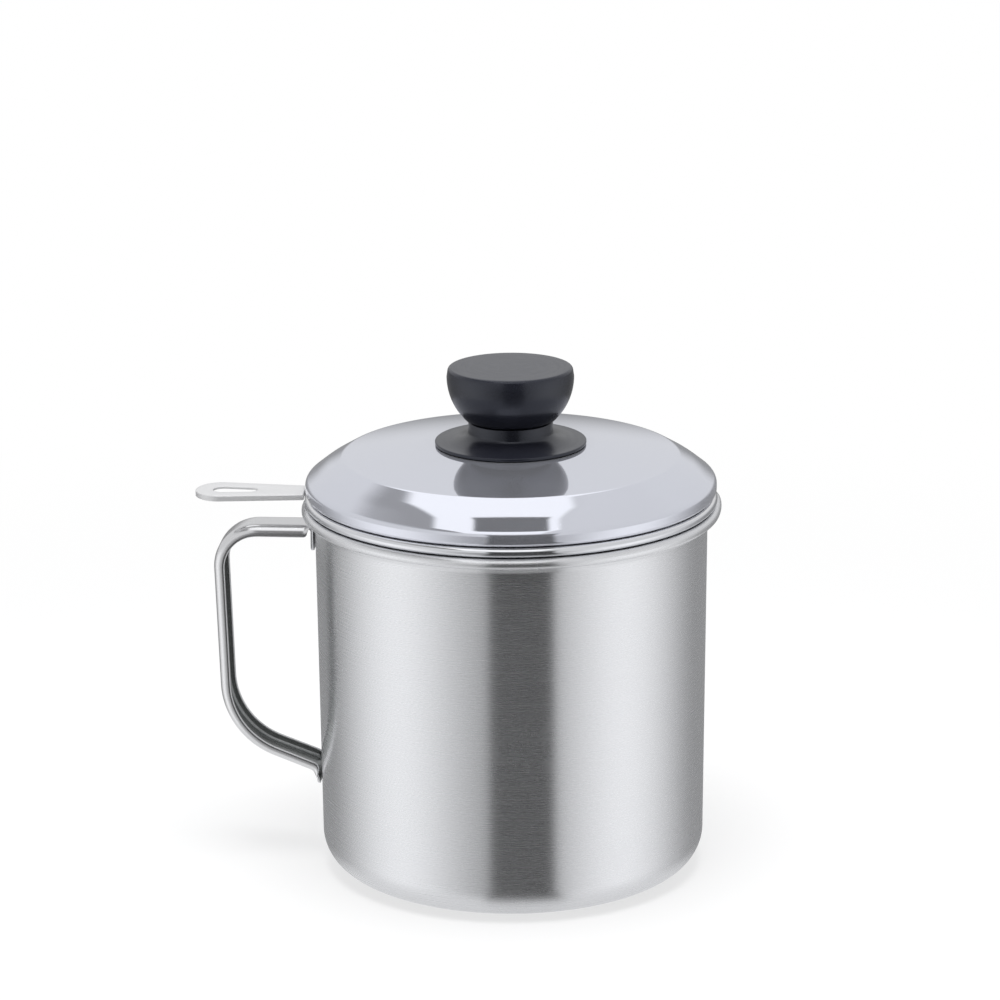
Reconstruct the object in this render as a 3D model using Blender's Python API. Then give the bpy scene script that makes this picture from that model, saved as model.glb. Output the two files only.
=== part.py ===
"""Steel grease container: a pot with a mug handle, a drop-in strainer and a lid with a black knob.

Units are metres, +Z is up. The origin is on the pot's axis, on the face it stands on.
The mug handle and the strainer's tab point along -X, and the pouring lip looks to +X.
The strainer and the lid each hang from an empty on the pot's axis, because both lift straight off.
"""

import math

import bmesh
import bpy
from mathutils import Matrix, Vector

# How finely round shapes are cut
ROUND_STEPS = 40
KNOB_STEPS = 28
SCREW_STEPS = 16
CURL_STEPS = 6
SMOOTH_ANGLE = math.radians(35)

# Shared fits
SEAT_GAP = 0.0003
THREAD_GAP = 0.0003
CUT_OVERRUN = 0.001
MERGE_DISTANCE = 0.000001

# Pot: one deep-drawn cup with a rolled rim
POT_SHEET = 0.0006
POT_WALL_RADIUS = 0.0614
POT_TAPER = 0.0009
POT_CORNER_RADIUS = 0.0114
POT_CURL_RADIUS = 0.00165
POT_RIM_OVERHANG = 0.0041
POT_HEIGHT = 0.11765
POT_FLARE_LEAN = math.radians(20)
CURL_END = math.radians(-135)

# Pouring lip, pressed into the rim across from the handle
LIP_REACH = 0.0011
LIP_DEPTH = 0.0100
LIP_AZIMUTH = math.radians(13)
LIP_HALF_ANGLE = math.radians(20)

# Mug handle: a pressed channel, open towards the pot, with a weld tongue at each end
HANDLE_SHEET = 0.0009
HANDLE_WIDTH = 0.0130
HANDLE_FOOT_WIDTH = 0.0145
HANDLE_REACH = 0.0940
HANDLE_KNEE_REACH = 0.0918
HANDLE_ARM_DROP = 0.0072
HANDLE_TOP_TONGUE = 0.0081
HANDLE_KNEE_HEIGHT = 0.0405
HANDLE_ARM_SLOPE = math.radians(21)
HANDLE_FOOT_HEIGHT = 0.0254
HANDLE_TOP_BEND = 0.0030
HANDLE_SHOULDER_BEND = 0.0140
HANDLE_KNEE_BEND = 0.0260
HANDLE_FOOT_BEND = 0.0040
HANDLE_BEND_STEPS = (3, 5, 6, 3)
FLANGE_TOP_DEPTH = 0.0037
FLANGE_FOOT_DEPTH = 0.0033
FLANGE_LIP = 0.0010
FLANGE_RAMP = 0.0018
FLANGE_CORNER = 0.0016
FLANGE_INNER_CORNER = 0.0005
FLANGE_RAMP_SHARES = (0.0, 0.35, 0.7, 1.0)

# Strainer bowl, measured down from the middle of its rolled rim
STRAINER_SHEET = 0.0006
STRAINER_RIM_INSET = 0.00085
STRAINER_CURL_RADIUS = 0.0015
STRAINER_RIM_OVERHANG = 0.0043
STRAINER_FLARE_LEAN = math.radians(32)
STRAINER_WALL_DEPTH = 0.0135
STRAINER_CORNER_RADIUS = 0.0050
STRAINER_CORNER_SWEEP = math.radians(60)
TERRACE_COUNT = 3
TREAD_DROP = 0.0009
RISER_RUN = 0.0006

# Strainer screen: a perforated disc whose turned-up edge grips the bowl's neck
SCREEN_SHEET = 0.0005
SCREEN_RADIUS = 0.0475
SCREEN_EDGE_HEIGHT = 0.0022
SCREEN_CORNER = 0.0009
STRAINER_DEPTH = 0.0270
NECK_OVERLAP = 0.0014
HOLE_PITCH = 0.0072
HOLE_RADIUS = 0.0019
HOLE_SIDES = 6
HOLE_MARGIN = 0.0030

# Strainer tab: a slotted thumb tab with turned-down edges
TAB_SHEET = 0.0008
TAB_EDGE_DEPTH = 0.0018
TAB_RISE = 0.0012
TAB_LENGTH = 0.0345
TAB_ROOT_WIDTH = 0.0110
TAB_WIDTH = 0.0168
TAB_NOSE_LENGTH = 0.0080
TAB_NOSE_STEPS = 10
TAB_ROOT_STEPS = 4
SLOT_START = 0.0150
SLOT_LENGTH = 0.0140
SLOT_WIDTH = 0.0064
SLOT_ROOT_WIDTH = 0.0048
SLOT_END_STEPS = 4

# Lid dome, measured up from the plane that it rests on
LID_SHEET = 0.0006
LID_RIM_INSET = 0.0003
LID_EDGE_HEIGHT = 0.0040
LID_EDGE_BEND = 0.0012
LID_KNUCKLE_BEND = 0.0022
LID_CREASE_RADIUS = 0.0524
LID_CREASE_HEIGHT = 0.0121
LID_CREASE_BEND = 0.0030
LID_SHOULDER_BULGE = 0.0005
LID_CROWN = 0.0040
LID_CROWN_SHARES = (0.0, 0.35, 0.7)
BEND_STEPS = 2

# Lid skirt: a ring held in the dome's hem, which centres the lid in the strainer
SKIRT_SHEET = 0.0005
SKIRT_CLEARANCE = 0.0009
SKIRT_DEPTH = 0.0092
SKIRT_STEP_HEIGHT = 0.0030
SKIRT_STEP = 0.0003
SKIRT_STEP_RUN = 0.0004
SKIRT_BEND = 0.0006

# Knob collar: neck and heat disc
COLLAR_RADIUS = 0.0236
COLLAR_EDGE = 0.0010
COLLAR_EDGE_ROUND = 0.0003
NECK_RADIUS = 0.0132
NECK_TOP = 0.0067
FLARE_HEIGHT = 0.0030
FLARE_STEPS = 3

# Knob bowl
KNOB_RADIUS = 0.0198
KNOB_HEIGHT = 0.0168
KNOB_WAIST = 0.0029
KNOB_CURVE = 0.0192
KNOB_EDGE_ROUND = 0.0009
KNOB_FOOT_RADIUS = 0.0130
KNOB_SIDE_STEPS = 5

# Fastening: brass insert in the bowl, screw and washer under the lid
SCREW_RADIUS = 0.0020
SCREW_HEAD_RADIUS = 0.0038
SCREW_HEAD_HEIGHT = 0.0024
SCREW_HEAD_ROUND = 0.0008
SCREW_GRIP = 0.0070
INSERT_RADIUS = 0.0040
INSERT_LENGTH = 0.0085
INSERT_GROOVE = 0.0005
INSERT_GROOVE_WIDTH = 0.0016
WASHER_RADIUS = 0.0055
WASHER_THICKNESS = 0.0010

# Sizes that follow from the ones above
POT_RIM_CENTRE = POT_WALL_RADIUS + POT_RIM_OVERHANG - POT_CURL_RADIUS
POT_CURL_HEIGHT = POT_HEIGHT - POT_CURL_RADIUS
STRAINER_RIM_CENTRE = POT_RIM_CENTRE - STRAINER_RIM_INSET
STRAINER_WALL_RADIUS = STRAINER_RIM_CENTRE + STRAINER_CURL_RADIUS - STRAINER_RIM_OVERHANG
RIM_CONTACT = POT_CURL_RADIUS + STRAINER_CURL_RADIUS + SEAT_GAP
STRAINER_SEAT = POT_CURL_HEIGHT + math.sqrt(RIM_CONTACT**2 - STRAINER_RIM_INSET**2)
LID_SEAT = STRAINER_SEAT + STRAINER_CURL_RADIUS + SEAT_GAP
LID_RADIUS = STRAINER_RIM_CENTRE + STRAINER_CURL_RADIUS - LID_RIM_INSET
SKIRT_RADIUS = STRAINER_WALL_RADIUS - STRAINER_SHEET - SKIRT_CLEARANCE
LID_TOP = LID_CREASE_HEIGHT + LID_CROWN
SCREW_HOLE_RADIUS = SCREW_RADIUS + THREAD_GAP


def clear_scene():
    """Remove every object of the open scene."""
    for item in list(bpy.data.objects):
        bpy.data.objects.remove(item, do_unlink=True)


def finish(name, colour, roughness, metallic):
    """A plain surface for one piece."""
    surface = bpy.data.materials.new(name)
    surface.use_nodes = True
    shader = surface.node_tree.nodes["Principled BSDF"]
    shader.inputs["Base Color"].default_value = (*colour, 1.0)
    shader.inputs["Roughness"].default_value = roughness
    shader.inputs["Metallic"].default_value = metallic
    return surface


def add_object(name, bm, surface, parent=None):
    """Put a bmesh into the scene as one named piece."""
    mesh = bpy.data.meshes.new(name)
    bm.to_mesh(mesh)
    bm.free()
    mesh.materials.append(surface)
    mesh.shade_smooth()
    mesh.set_sharp_from_angle(angle=SMOOTH_ANGLE)
    piece = bpy.data.objects.new(name, mesh)
    bpy.context.collection.objects.link(piece)
    piece.parent = parent
    return piece


def add_empty(name, height):
    """An empty on the pot's axis, which the pieces of one lift-off part hang from."""
    empty = bpy.data.objects.new(name, None)
    empty.location = (0, 0, height)
    bpy.context.collection.objects.link(empty)
    return empty


def arc(centre, radius, start, end, steps):
    """Points on an arc about centre in the (radius, height) plane, both ends included."""
    angles = [start + (end - start) * step / steps for step in range(steps + 1)]
    return [(centre[0] + radius * math.cos(a), centre[1] + radius * math.sin(a)) for a in angles]


def offset_path(path, distance):
    """The path moved to its left by distance, with mitred corners."""
    points = [Vector(point) for point in path]
    runs = [(after - before).normalized() for before, after in zip(points, points[1:])]
    moved = []
    for index, point in enumerate(points):
        before = runs[max(index - 1, 0)]
        after = runs[min(index, len(runs) - 1)]
        left = Vector((-after.y, after.x))
        middle = Vector((-before.y - after.y, before.x + after.x)).normalized()
        moved.append(tuple(point + middle * distance / middle.dot(left)))
    return moved


def sheet_outline(path, sheet):
    """Both faces of a sheet whose mid-line is path, as one outline."""
    return offset_path(path, sheet / 2) + offset_path(path, -sheet / 2)[::-1]


def rolled_rim(centre, radius, sheet, lean, foot_radius):
    """Mid-line of a flare that leans out from foot_radius and rolls over into a curl.

    The flare meets the curl as its tangent, so the bend has no corner.
    """
    middle = radius - sheet / 2
    roll = arc(centre, middle, math.pi - lean, CURL_END, CURL_STEPS)
    start = roll[0]
    foot_height = start[1] - (start[0] - foot_radius) / math.tan(lean)
    return [(foot_radius, foot_height)] + roll


def rounded_path(corners, bends, steps):
    """A path through corners with each inner corner rounded to its bend radius."""
    points = [Vector(corner) for corner in corners]
    path = [tuple(points[0])]
    for corner, before, after, bend, count in zip(points[1:-1], points, points[2:], bends, steps):
        into = (corner - before).normalized()
        out = (after - corner).normalized()
        turn = into.angle(out)
        reach = bend * math.tan(turn / 2)
        side = 1 if into.x * out.y - into.y * out.x > 0 else -1
        start = corner - into * reach
        centre = start + Vector((-into.y, into.x)) * bend * side
        first = math.atan2(start.y - centre.y, start.x - centre.x)
        path += arc(centre, bend, first, first + side * turn, count)
    return path + [tuple(points[-1])]


def turned(name, outline, closed, steps, surface, parent=None):
    """A piece turned on the Z axis from half an outline of (radius, height) points.

    An outline that is not closed starts and ends on the axis.
    """
    bm = bmesh.new()
    verts = [bm.verts.new((radius, 0, height)) for radius, height in outline]
    pairs = list(zip(verts, verts[1:]))
    if closed:
        pairs.append((verts[-1], verts[0]))
    edges = [bm.edges.new(pair) for pair in pairs]
    bmesh.ops.spin(bm, geom=verts + edges, cent=(0, 0, 0), axis=(0, 0, 1), angle=math.tau,
                   steps=steps, use_merge=True)
    bmesh.ops.remove_doubles(bm, verts=bm.verts, dist=MERGE_DISTANCE)
    bmesh.ops.recalc_face_normals(bm, faces=bm.faces)
    return add_object(name, bm, surface, parent)


def prism(name, outline, low, high, surface, parent=None):
    """A flat outline of (x, y) points made solid from low to high."""
    bm = bmesh.new()
    face = bm.faces.new([bm.verts.new((x, y, low)) for x, y in outline])
    raised = bmesh.ops.extrude_face_region(bm, geom=[face])["geom"]
    tops = [item for item in raised if isinstance(item, bmesh.types.BMVert)]
    bmesh.ops.translate(bm, verts=tops, vec=(0, 0, high - low))
    bmesh.ops.recalc_face_normals(bm, faces=bm.faces)
    return add_object(name, bm, surface, parent)


def cut(piece, cutter):
    """Take the cutter's shape out of the piece."""
    step = piece.modifiers.new(cutter.name, "BOOLEAN")
    step.operation = "DIFFERENCE"
    step.object = cutter
    cutter.hide_render = True
    cutter.display_type = "WIRE"


def merge_flat_faces(piece):
    """Make each flat stretch of a turned piece one face, so that cuts into it stay light."""
    bm = bmesh.new()
    bm.from_mesh(piece.data)
    bmesh.ops.dissolve_limit(bm, angle_limit=math.radians(1), verts=bm.verts, edges=bm.edges)
    bm.to_mesh(piece.data)
    bm.free()


def pot_wall_radius(height):
    """Outer radius of the pot's wall, which tapers from the rim to the base corner."""
    fall = (POT_HEIGHT - height) / (POT_HEIGHT - POT_CORNER_RADIUS)
    return POT_WALL_RADIUS - POT_TAPER * fall


def dome_height(radius):
    """Height of the lid's outer face over the plane that the lid rests on."""
    return LID_TOP - LID_CROWN * (radius / LID_CREASE_RADIUS) ** 2


def press_lip(pot):
    """Push the rim out over a short arc into a shallow pouring lip that fades down the wall."""
    lip_foot = POT_HEIGHT - LIP_DEPTH
    for vertex in pot.data.vertices:
        rise = min(max((vertex.co.z - lip_foot) / LIP_DEPTH, 0), 1)
        away = abs(math.atan2(vertex.co.y, vertex.co.x) - LIP_AZIMUTH)
        if rise > 0 and away < LIP_HALF_ANGLE:
            push = LIP_REACH * rise**2 * math.cos(away / LIP_HALF_ANGLE * math.pi / 2) ** 2
            radius = vertex.co.xy.length
            vertex.co.xy = vertex.co.xy * (radius + push) / radius


def make_pot_body(surface):
    """The cup: flat base, rounded corner, tapering wall, flared mouth and rolled rim."""
    half = POT_SHEET / 2
    base_radius = POT_WALL_RADIUS - POT_TAPER
    corner_centre = (base_radius - POT_CORNER_RADIUS, POT_CORNER_RADIUS)
    corner = arc(corner_centre, POT_CORNER_RADIUS - half, -math.pi / 2, 0, 2 * BEND_STEPS)
    rim = rolled_rim((POT_RIM_CENTRE, POT_CURL_HEIGHT), POT_CURL_RADIUS, POT_SHEET,
                     POT_FLARE_LEAN, POT_WALL_RADIUS - half)
    outline = sheet_outline([(0, half)] + corner + rim, POT_SHEET)
    pot = turned("pot_body", outline, False, ROUND_STEPS, surface)
    press_lip(pot)
    return pot


def handle_path():
    """Outer face of the handle's web as (radius, height) points, from top tongue to foot."""
    arm_height = POT_HEIGHT - HANDLE_ARM_DROP
    top_radius = pot_wall_radius(arm_height) + SEAT_GAP
    drop = (HANDLE_KNEE_REACH - POT_WALL_RADIUS) * math.tan(HANDLE_ARM_SLOPE)
    foot_bend_height = HANDLE_KNEE_HEIGHT - drop
    foot_radius = pot_wall_radius(foot_bend_height) + SEAT_GAP + HANDLE_SHEET
    corners = [
        (top_radius, arm_height - HANDLE_TOP_TONGUE),
        (top_radius, arm_height),
        (HANDLE_REACH, arm_height),
        (HANDLE_KNEE_REACH, HANDLE_KNEE_HEIGHT),
        (foot_radius, foot_bend_height),
        (foot_radius, HANDLE_FOOT_HEIGHT),
    ]
    bends = (HANDLE_TOP_BEND, HANDLE_SHOULDER_BEND, HANDLE_KNEE_BEND, HANDLE_FOOT_BEND)
    return rounded_path(corners, bends, HANDLE_BEND_STEPS)


def path_lengths(path):
    """Distance along the path to each of its points."""
    lengths = [0.0]
    for before, after in zip(path, path[1:]):
        lengths.append(lengths[-1] + math.dist(before, after))
    return lengths


def with_stations(path, stations):
    """The path with points added at the given distances along it."""
    lengths = path_lengths(path)
    marks = list(zip(lengths, path))
    for station in stations:
        index = max(i for i, length in enumerate(lengths[:-1]) if length <= station)
        share = (station - lengths[index]) / (lengths[index + 1] - lengths[index])
        if MERGE_DISTANCE < station - lengths[index] < lengths[index + 1] - lengths[index] - MERGE_DISTANCE:
            marks.append((station, tuple(Vector(path[index]).lerp(Vector(path[index + 1]), share))))
    return [point for length, point in sorted(marks)]


def channel_section(width, depth):
    """Section of the channel as (sideways, inward) points, the web's outer face at inward zero."""
    half = width / 2
    inside = half - HANDLE_SHEET
    round_out = min(FLANGE_CORNER, depth / 2)
    round_in = min(FLANGE_INNER_CORNER, (depth - HANDLE_SHEET) / 2)
    right = [(half - round_out, 0), (half, round_out), (half, depth), (inside, depth),
             (inside, HANDLE_SHEET + round_in), (inside - round_in, HANDLE_SHEET)]
    return right + [(-side, inward) for side, inward in reversed(right)]


def make_pot_handle(surface):
    """The mug handle: the channel section carried along its path, its flanges fading at both ends."""
    path = handle_path()
    lengths = path_lengths(path)
    flange_start = lengths[1 + HANDLE_BEND_STEPS[0]]
    flange_end = lengths[-2 - HANDLE_BEND_STEPS[3]]
    ramps = [flange_start + FLANGE_RAMP * share for share in FLANGE_RAMP_SHARES]
    ramps += [flange_end - FLANGE_RAMP * share for share in FLANGE_RAMP_SHARES]
    path = with_stations(path, ramps)
    lengths = path_lengths(path)
    bm = bmesh.new()
    rings = []
    for index, (point, length) in enumerate(zip(path, lengths)):
        before = Vector(path[max(index - 1, 0)])
        after = Vector(path[min(index + 1, len(path) - 1)])
        along = (after - before).normalized()
        inward = Vector((along.y, -along.x))
        share = min(max((length - flange_start) / (flange_end - flange_start), 0), 1)
        full = FLANGE_TOP_DEPTH + (FLANGE_FOOT_DEPTH - FLANGE_TOP_DEPTH) * share
        fade = min(max(min(length - flange_start, flange_end - length) / FLANGE_RAMP, 0), 1)
        depth = FLANGE_LIP + (full - FLANGE_LIP) * math.sin(fade * math.pi / 2)
        width = HANDLE_WIDTH + (HANDLE_FOOT_WIDTH - HANDLE_WIDTH) * share**3
        ring = []
        for side, reach in channel_section(width, depth):
            place = Vector(point) + inward * reach
            ring.append(bm.verts.new((-place.x, side, place.y)))
        rings.append(ring)
    for ring, following in zip(rings, rings[1:]):
        for k in range(len(ring)):
            nxt = (k + 1) % len(ring)
            bm.faces.new((ring[k], ring[nxt], following[nxt], following[k]))
    bm.faces.new(rings[0])
    bm.faces.new(rings[-1])
    bmesh.ops.recalc_face_normals(bm, faces=bm.faces)
    return add_object("pot_handle", bm, surface)


def terraces(start, end):
    """Stepped funnel from start to end: shallow treads with steep risers between them."""
    tread_run = (start[0] - end[0] - RISER_RUN * (TERRACE_COUNT - 1)) / TERRACE_COUNT
    riser_drop = (start[1] - end[1] - TREAD_DROP * TERRACE_COUNT) / (TERRACE_COUNT - 1)
    radius, height = start
    path = []
    for step in range(TERRACE_COUNT):
        radius -= tread_run
        height -= TREAD_DROP
        path.append((radius, height))
        if step < TERRACE_COUNT - 1:
            radius -= RISER_RUN
            height -= riser_drop
            path.append((radius, height))
    return path


def make_strainer_bowl(surface, parent):
    """The dish: rolled rim, wall, rounded corner, terraces and the neck that holds the screen."""
    half = STRAINER_SHEET / 2
    wall = STRAINER_WALL_RADIUS - half
    centre = (wall - STRAINER_CORNER_RADIUS, -STRAINER_WALL_DEPTH)
    corner = arc(centre, STRAINER_CORNER_RADIUS, -STRAINER_CORNER_SWEEP, 0, BEND_STEPS + 1)
    neck_radius = SCREEN_RADIUS - SCREEN_SHEET - SEAT_GAP - half
    neck_top = SCREEN_EDGE_HEIGHT + SEAT_GAP + half - STRAINER_DEPTH
    steps = terraces(corner[0], (neck_radius, neck_top))
    neck = [(neck_radius, neck_top - NECK_OVERLAP - half)]
    rim = rolled_rim((STRAINER_RIM_CENTRE, 0), STRAINER_CURL_RADIUS, STRAINER_SHEET,
                     STRAINER_FLARE_LEAN, wall)
    outline = sheet_outline(neck + steps[::-1] + corner + rim, STRAINER_SHEET)
    return turned("strainer_bowl", outline, True, ROUND_STEPS, surface, parent)


def make_hole_cutter(parent):
    """Staggered rows of prisms that punch the screen, a full pitch apart, inside its margin."""
    field = SCREEN_RADIUS - SCREEN_SHEET - HOLE_MARGIN - HOLE_RADIUS
    row_pitch = HOLE_PITCH * math.sin(math.pi / 3)
    rows = int(field / row_pitch)
    columns = int(field / HOLE_PITCH) + 1
    bm = bmesh.new()
    for row in range(-rows, rows + 1):
        shift = HOLE_PITCH / 2 * (row % 2)
        for column in range(-columns, columns + 1):
            x = column * HOLE_PITCH + shift
            y = row * row_pitch
            if math.hypot(x, y) <= field:
                place = Matrix.Translation((x, y, SCREEN_SHEET / 2 - STRAINER_DEPTH))
                bmesh.ops.create_cone(bm, cap_ends=True, segments=HOLE_SIDES, radius1=HOLE_RADIUS,
                                      radius2=HOLE_RADIUS, depth=SCREEN_SHEET + CUT_OVERRUN,
                                      matrix=place)
    return add_object("hole_cutter", bm, bpy.data.materials["strainer_screen"], parent)


def make_strainer_screen(surface, parent):
    """The perforated disc with its turned-up edge."""
    half = SCREEN_SHEET / 2
    floor = half - STRAINER_DEPTH
    wall = SCREEN_RADIUS - half
    path = [(0, floor), (wall - SCREEN_CORNER, floor), (wall, floor + SCREEN_CORNER),
            (wall, SCREEN_EDGE_HEIGHT - STRAINER_DEPTH)]
    screen = turned("strainer_screen", sheet_outline(path, SCREEN_SHEET), False, ROUND_STEPS,
                    surface, parent)
    merge_flat_faces(screen)
    cut(screen, make_hole_cutter(parent))
    return screen


def tab_outline(inset):
    """Tab seen from above: it follows the rim at its root, widens, and ends in a round nose."""
    root = STRAINER_RIM_CENTRE + STRAINER_CURL_RADIUS + SEAT_GAP + inset
    tip = root + TAB_LENGTH - 2 * inset
    nose = tip - TAB_NOSE_LENGTH + inset
    half_root = TAB_ROOT_WIDTH / 2 - inset
    half_width = TAB_WIDTH / 2 - inset
    turns = [math.pi / 2 - math.pi * step / TAB_NOSE_STEPS for step in range(TAB_NOSE_STEPS + 1)]
    front = [(nose + (tip - nose) * math.cos(a), half_width * math.sin(a)) for a in turns]
    swing = math.asin(half_root / root)
    back = arc((0, 0), root, -swing, swing, TAB_ROOT_STEPS)
    return [(-x, y) for x, y in front + back]


def slot_outline():
    """The tab's slot: two round ends, the inner one narrower."""
    start = STRAINER_RIM_CENTRE + STRAINER_CURL_RADIUS + SEAT_GAP + SLOT_START
    inner = SLOT_ROOT_WIDTH / 2
    outer = SLOT_WIDTH / 2
    quarter = math.pi / 2
    far = arc((start + SLOT_LENGTH - outer, 0), outer, quarter, -quarter, SLOT_END_STEPS)
    near = arc((start + inner, 0), inner, -quarter, -3 * quarter, SLOT_END_STEPS)
    return [(-x, y) for x, y in far + near]


def make_strainer_handle(surface, parent):
    """The thumb tab: a plate with its edges turned down, and a slot through it."""
    foot = TAB_RISE - TAB_EDGE_DEPTH
    tab = prism("strainer_handle", tab_outline(0), foot, TAB_RISE, surface, parent)
    hollow = prism("tab_hollow_cutter", tab_outline(TAB_SHEET), foot - CUT_OVERRUN,
                   TAB_RISE - TAB_SHEET, surface, parent)
    slot = prism("tab_slot_cutter", slot_outline(), foot - CUT_OVERRUN, TAB_RISE + CUT_OVERRUN,
                 surface, parent)
    cut(tab, hollow)
    cut(tab, slot)
    return tab


def lid_corners():
    """Mid-line corners of the dome from its crease down the shoulder and under the hem."""
    half = LID_SHEET / 2
    edge = LID_RADIUS - half
    crease = (LID_CREASE_RADIUS, LID_CREASE_HEIGHT - half)
    knuckle = (edge, LID_EDGE_HEIGHT)
    slope = Vector(knuckle) - Vector(crease)
    bulge = Vector((-slope.y, slope.x)).normalized() * LID_SHOULDER_BULGE
    middle = tuple((Vector(crease) + Vector(knuckle)) / 2 + bulge)
    return [crease, middle, knuckle, (edge, half), (SKIRT_RADIUS + SEAT_GAP, half)]


def make_lid_dome(surface, parent):
    """The lid's sheet: low crown, crease, steep shoulder, upright edge and the hem under it."""
    half = LID_SHEET / 2
    crown = []
    for share in LID_CROWN_SHARES:
        radius = SCREW_HOLE_RADIUS + (LID_CREASE_RADIUS - SCREW_HOLE_RADIUS) * share
        crown.append((radius, dome_height(radius) - half))
    corners = [crown[-1]] + lid_corners()
    bends = (LID_CREASE_BEND, LID_CREASE_BEND, LID_KNUCKLE_BEND, LID_EDGE_BEND)
    skirting = rounded_path(corners, bends, (BEND_STEPS, 1, BEND_STEPS, BEND_STEPS))
    outline = sheet_outline(crown[:-1] + skirting, LID_SHEET)
    return turned("lid_dome", outline, True, ROUND_STEPS, surface, parent)


def make_lid_skirt(surface, parent):
    """The ring whose flange lies in the dome's hem and whose wall hangs into the strainer."""
    half = SKIRT_SHEET / 2
    flange_height = LID_SHEET + SEAT_GAP + half
    flange_end = LID_RADIUS - LID_SHEET / 2 - LID_EDGE_BEND
    wall = SKIRT_RADIUS - half
    low_wall = wall - SKIRT_STEP
    step_height = SKIRT_STEP_HEIGHT - SKIRT_DEPTH
    corners = [(flange_end, flange_height), (wall, flange_height), (wall, step_height)]
    path = rounded_path(corners, (SKIRT_BEND,), (BEND_STEPS,))
    path += [(low_wall, step_height - SKIRT_STEP_RUN), (low_wall, -SKIRT_DEPTH)]
    return turned("lid_skirt", sheet_outline(path, SKIRT_SHEET), True, ROUND_STEPS, surface, parent)


def make_knob_collar(surface, parent):
    """Neck and heat disc, hollowed to the crown so that the disc's rim bears on the lid."""
    rim_foot = dome_height(COLLAR_RADIUS) + SEAT_GAP
    rim_top = rim_foot + COLLAR_EDGE
    neck_top = LID_TOP + NECK_TOP
    flare_top = rim_top + FLARE_HEIGHT
    under = [(radius, dome_height(radius) + SEAT_GAP)
             for radius in (SCREW_HOLE_RADIUS, COLLAR_RADIUS / 2, COLLAR_RADIUS - COLLAR_EDGE_ROUND)]
    edge = [(COLLAR_RADIUS, rim_foot + COLLAR_EDGE_ROUND), (COLLAR_RADIUS, rim_top - COLLAR_EDGE_ROUND)]
    flare = []
    for step in range(FLARE_STEPS + 1):
        turn = math.pi / 2 * step / FLARE_STEPS
        reach = COLLAR_RADIUS - COLLAR_EDGE_ROUND - NECK_RADIUS
        flare.append((NECK_RADIUS + reach * (1 - math.sin(turn)), flare_top - FLARE_HEIGHT * math.cos(turn)))
    top = [(NECK_RADIUS, neck_top), (SCREW_HOLE_RADIUS, neck_top)]
    return turned("knob_collar", under + edge + flare + top, True, KNOB_STEPS, surface, parent)


def make_knob_bowl(surface, parent):
    """The grip: flat top, rounded edge and a bowl that narrows to its foot, bored for the insert."""
    foot = LID_TOP + NECK_TOP + SEAT_GAP
    top = foot + KNOB_HEIGHT
    widest = top - KNOB_WAIST
    bore = INSERT_RADIUS + SEAT_GAP
    bore_top = foot + INSERT_LENGTH + SEAT_GAP
    outline = [(0, top), (KNOB_RADIUS - 2 * KNOB_EDGE_ROUND, top),
               (KNOB_RADIUS - KNOB_EDGE_ROUND / 2, top - KNOB_EDGE_ROUND)]
    side_foot = foot + KNOB_EDGE_ROUND / 2
    for step in range(KNOB_SIDE_STEPS + 1):
        height = widest + (side_foot - widest) * step / KNOB_SIDE_STEPS
        outline.append((KNOB_RADIUS * math.sqrt(1 - ((widest - height) / KNOB_CURVE) ** 2), height))
    outline += [(KNOB_FOOT_RADIUS, foot), (bore, foot), (bore, bore_top), (0, bore_top)]
    return turned("knob_bowl", outline, False, KNOB_STEPS, surface, parent)


def make_knob_insert(surface, parent):
    """Brass bush in the grip's bore, with a locking groove round its middle."""
    foot = LID_TOP + NECK_TOP + SEAT_GAP
    middle = foot + INSERT_LENGTH / 2
    groove = INSERT_RADIUS - INSERT_GROOVE
    half_groove = INSERT_GROOVE_WIDTH / 2
    outline = [(SCREW_HOLE_RADIUS, foot), (INSERT_RADIUS, foot), (INSERT_RADIUS, middle - half_groove),
               (groove, middle - half_groove), (groove, middle + half_groove),
               (INSERT_RADIUS, middle + half_groove), (INSERT_RADIUS, foot + INSERT_LENGTH),
               (SCREW_HOLE_RADIUS, foot + INSERT_LENGTH)]
    return turned("knob_insert", outline, True, SCREW_STEPS, surface, parent)


def make_screw_washer(surface, parent):
    """Washer under the lid's crown."""
    top = LID_TOP - LID_SHEET - SEAT_GAP
    low = top - WASHER_THICKNESS
    outline = [(SCREW_HOLE_RADIUS, low), (WASHER_RADIUS, low), (WASHER_RADIUS, top),
               (SCREW_HOLE_RADIUS, top)]
    return turned("screw_washer", outline, True, SCREW_STEPS, surface, parent)


def make_knob_screw(surface, parent):
    """Pan-head screw that runs up through washer, lid and collar into the insert."""
    head_top = LID_TOP - LID_SHEET - 2 * SEAT_GAP - WASHER_THICKNESS
    head_low = head_top - SCREW_HEAD_HEIGHT
    tip = LID_TOP + NECK_TOP + SEAT_GAP + SCREW_GRIP
    outline = [(0, head_low), (SCREW_HEAD_RADIUS - SCREW_HEAD_ROUND, head_low),
               (SCREW_HEAD_RADIUS, head_low + SCREW_HEAD_ROUND), (SCREW_HEAD_RADIUS, head_top),
               (SCREW_RADIUS, head_top), (SCREW_RADIUS, tip - SCREW_RADIUS / 2),
               (SCREW_RADIUS / 2, tip), (0, tip)]
    return turned("knob_screw", outline, False, SCREW_STEPS, surface, parent)


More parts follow.
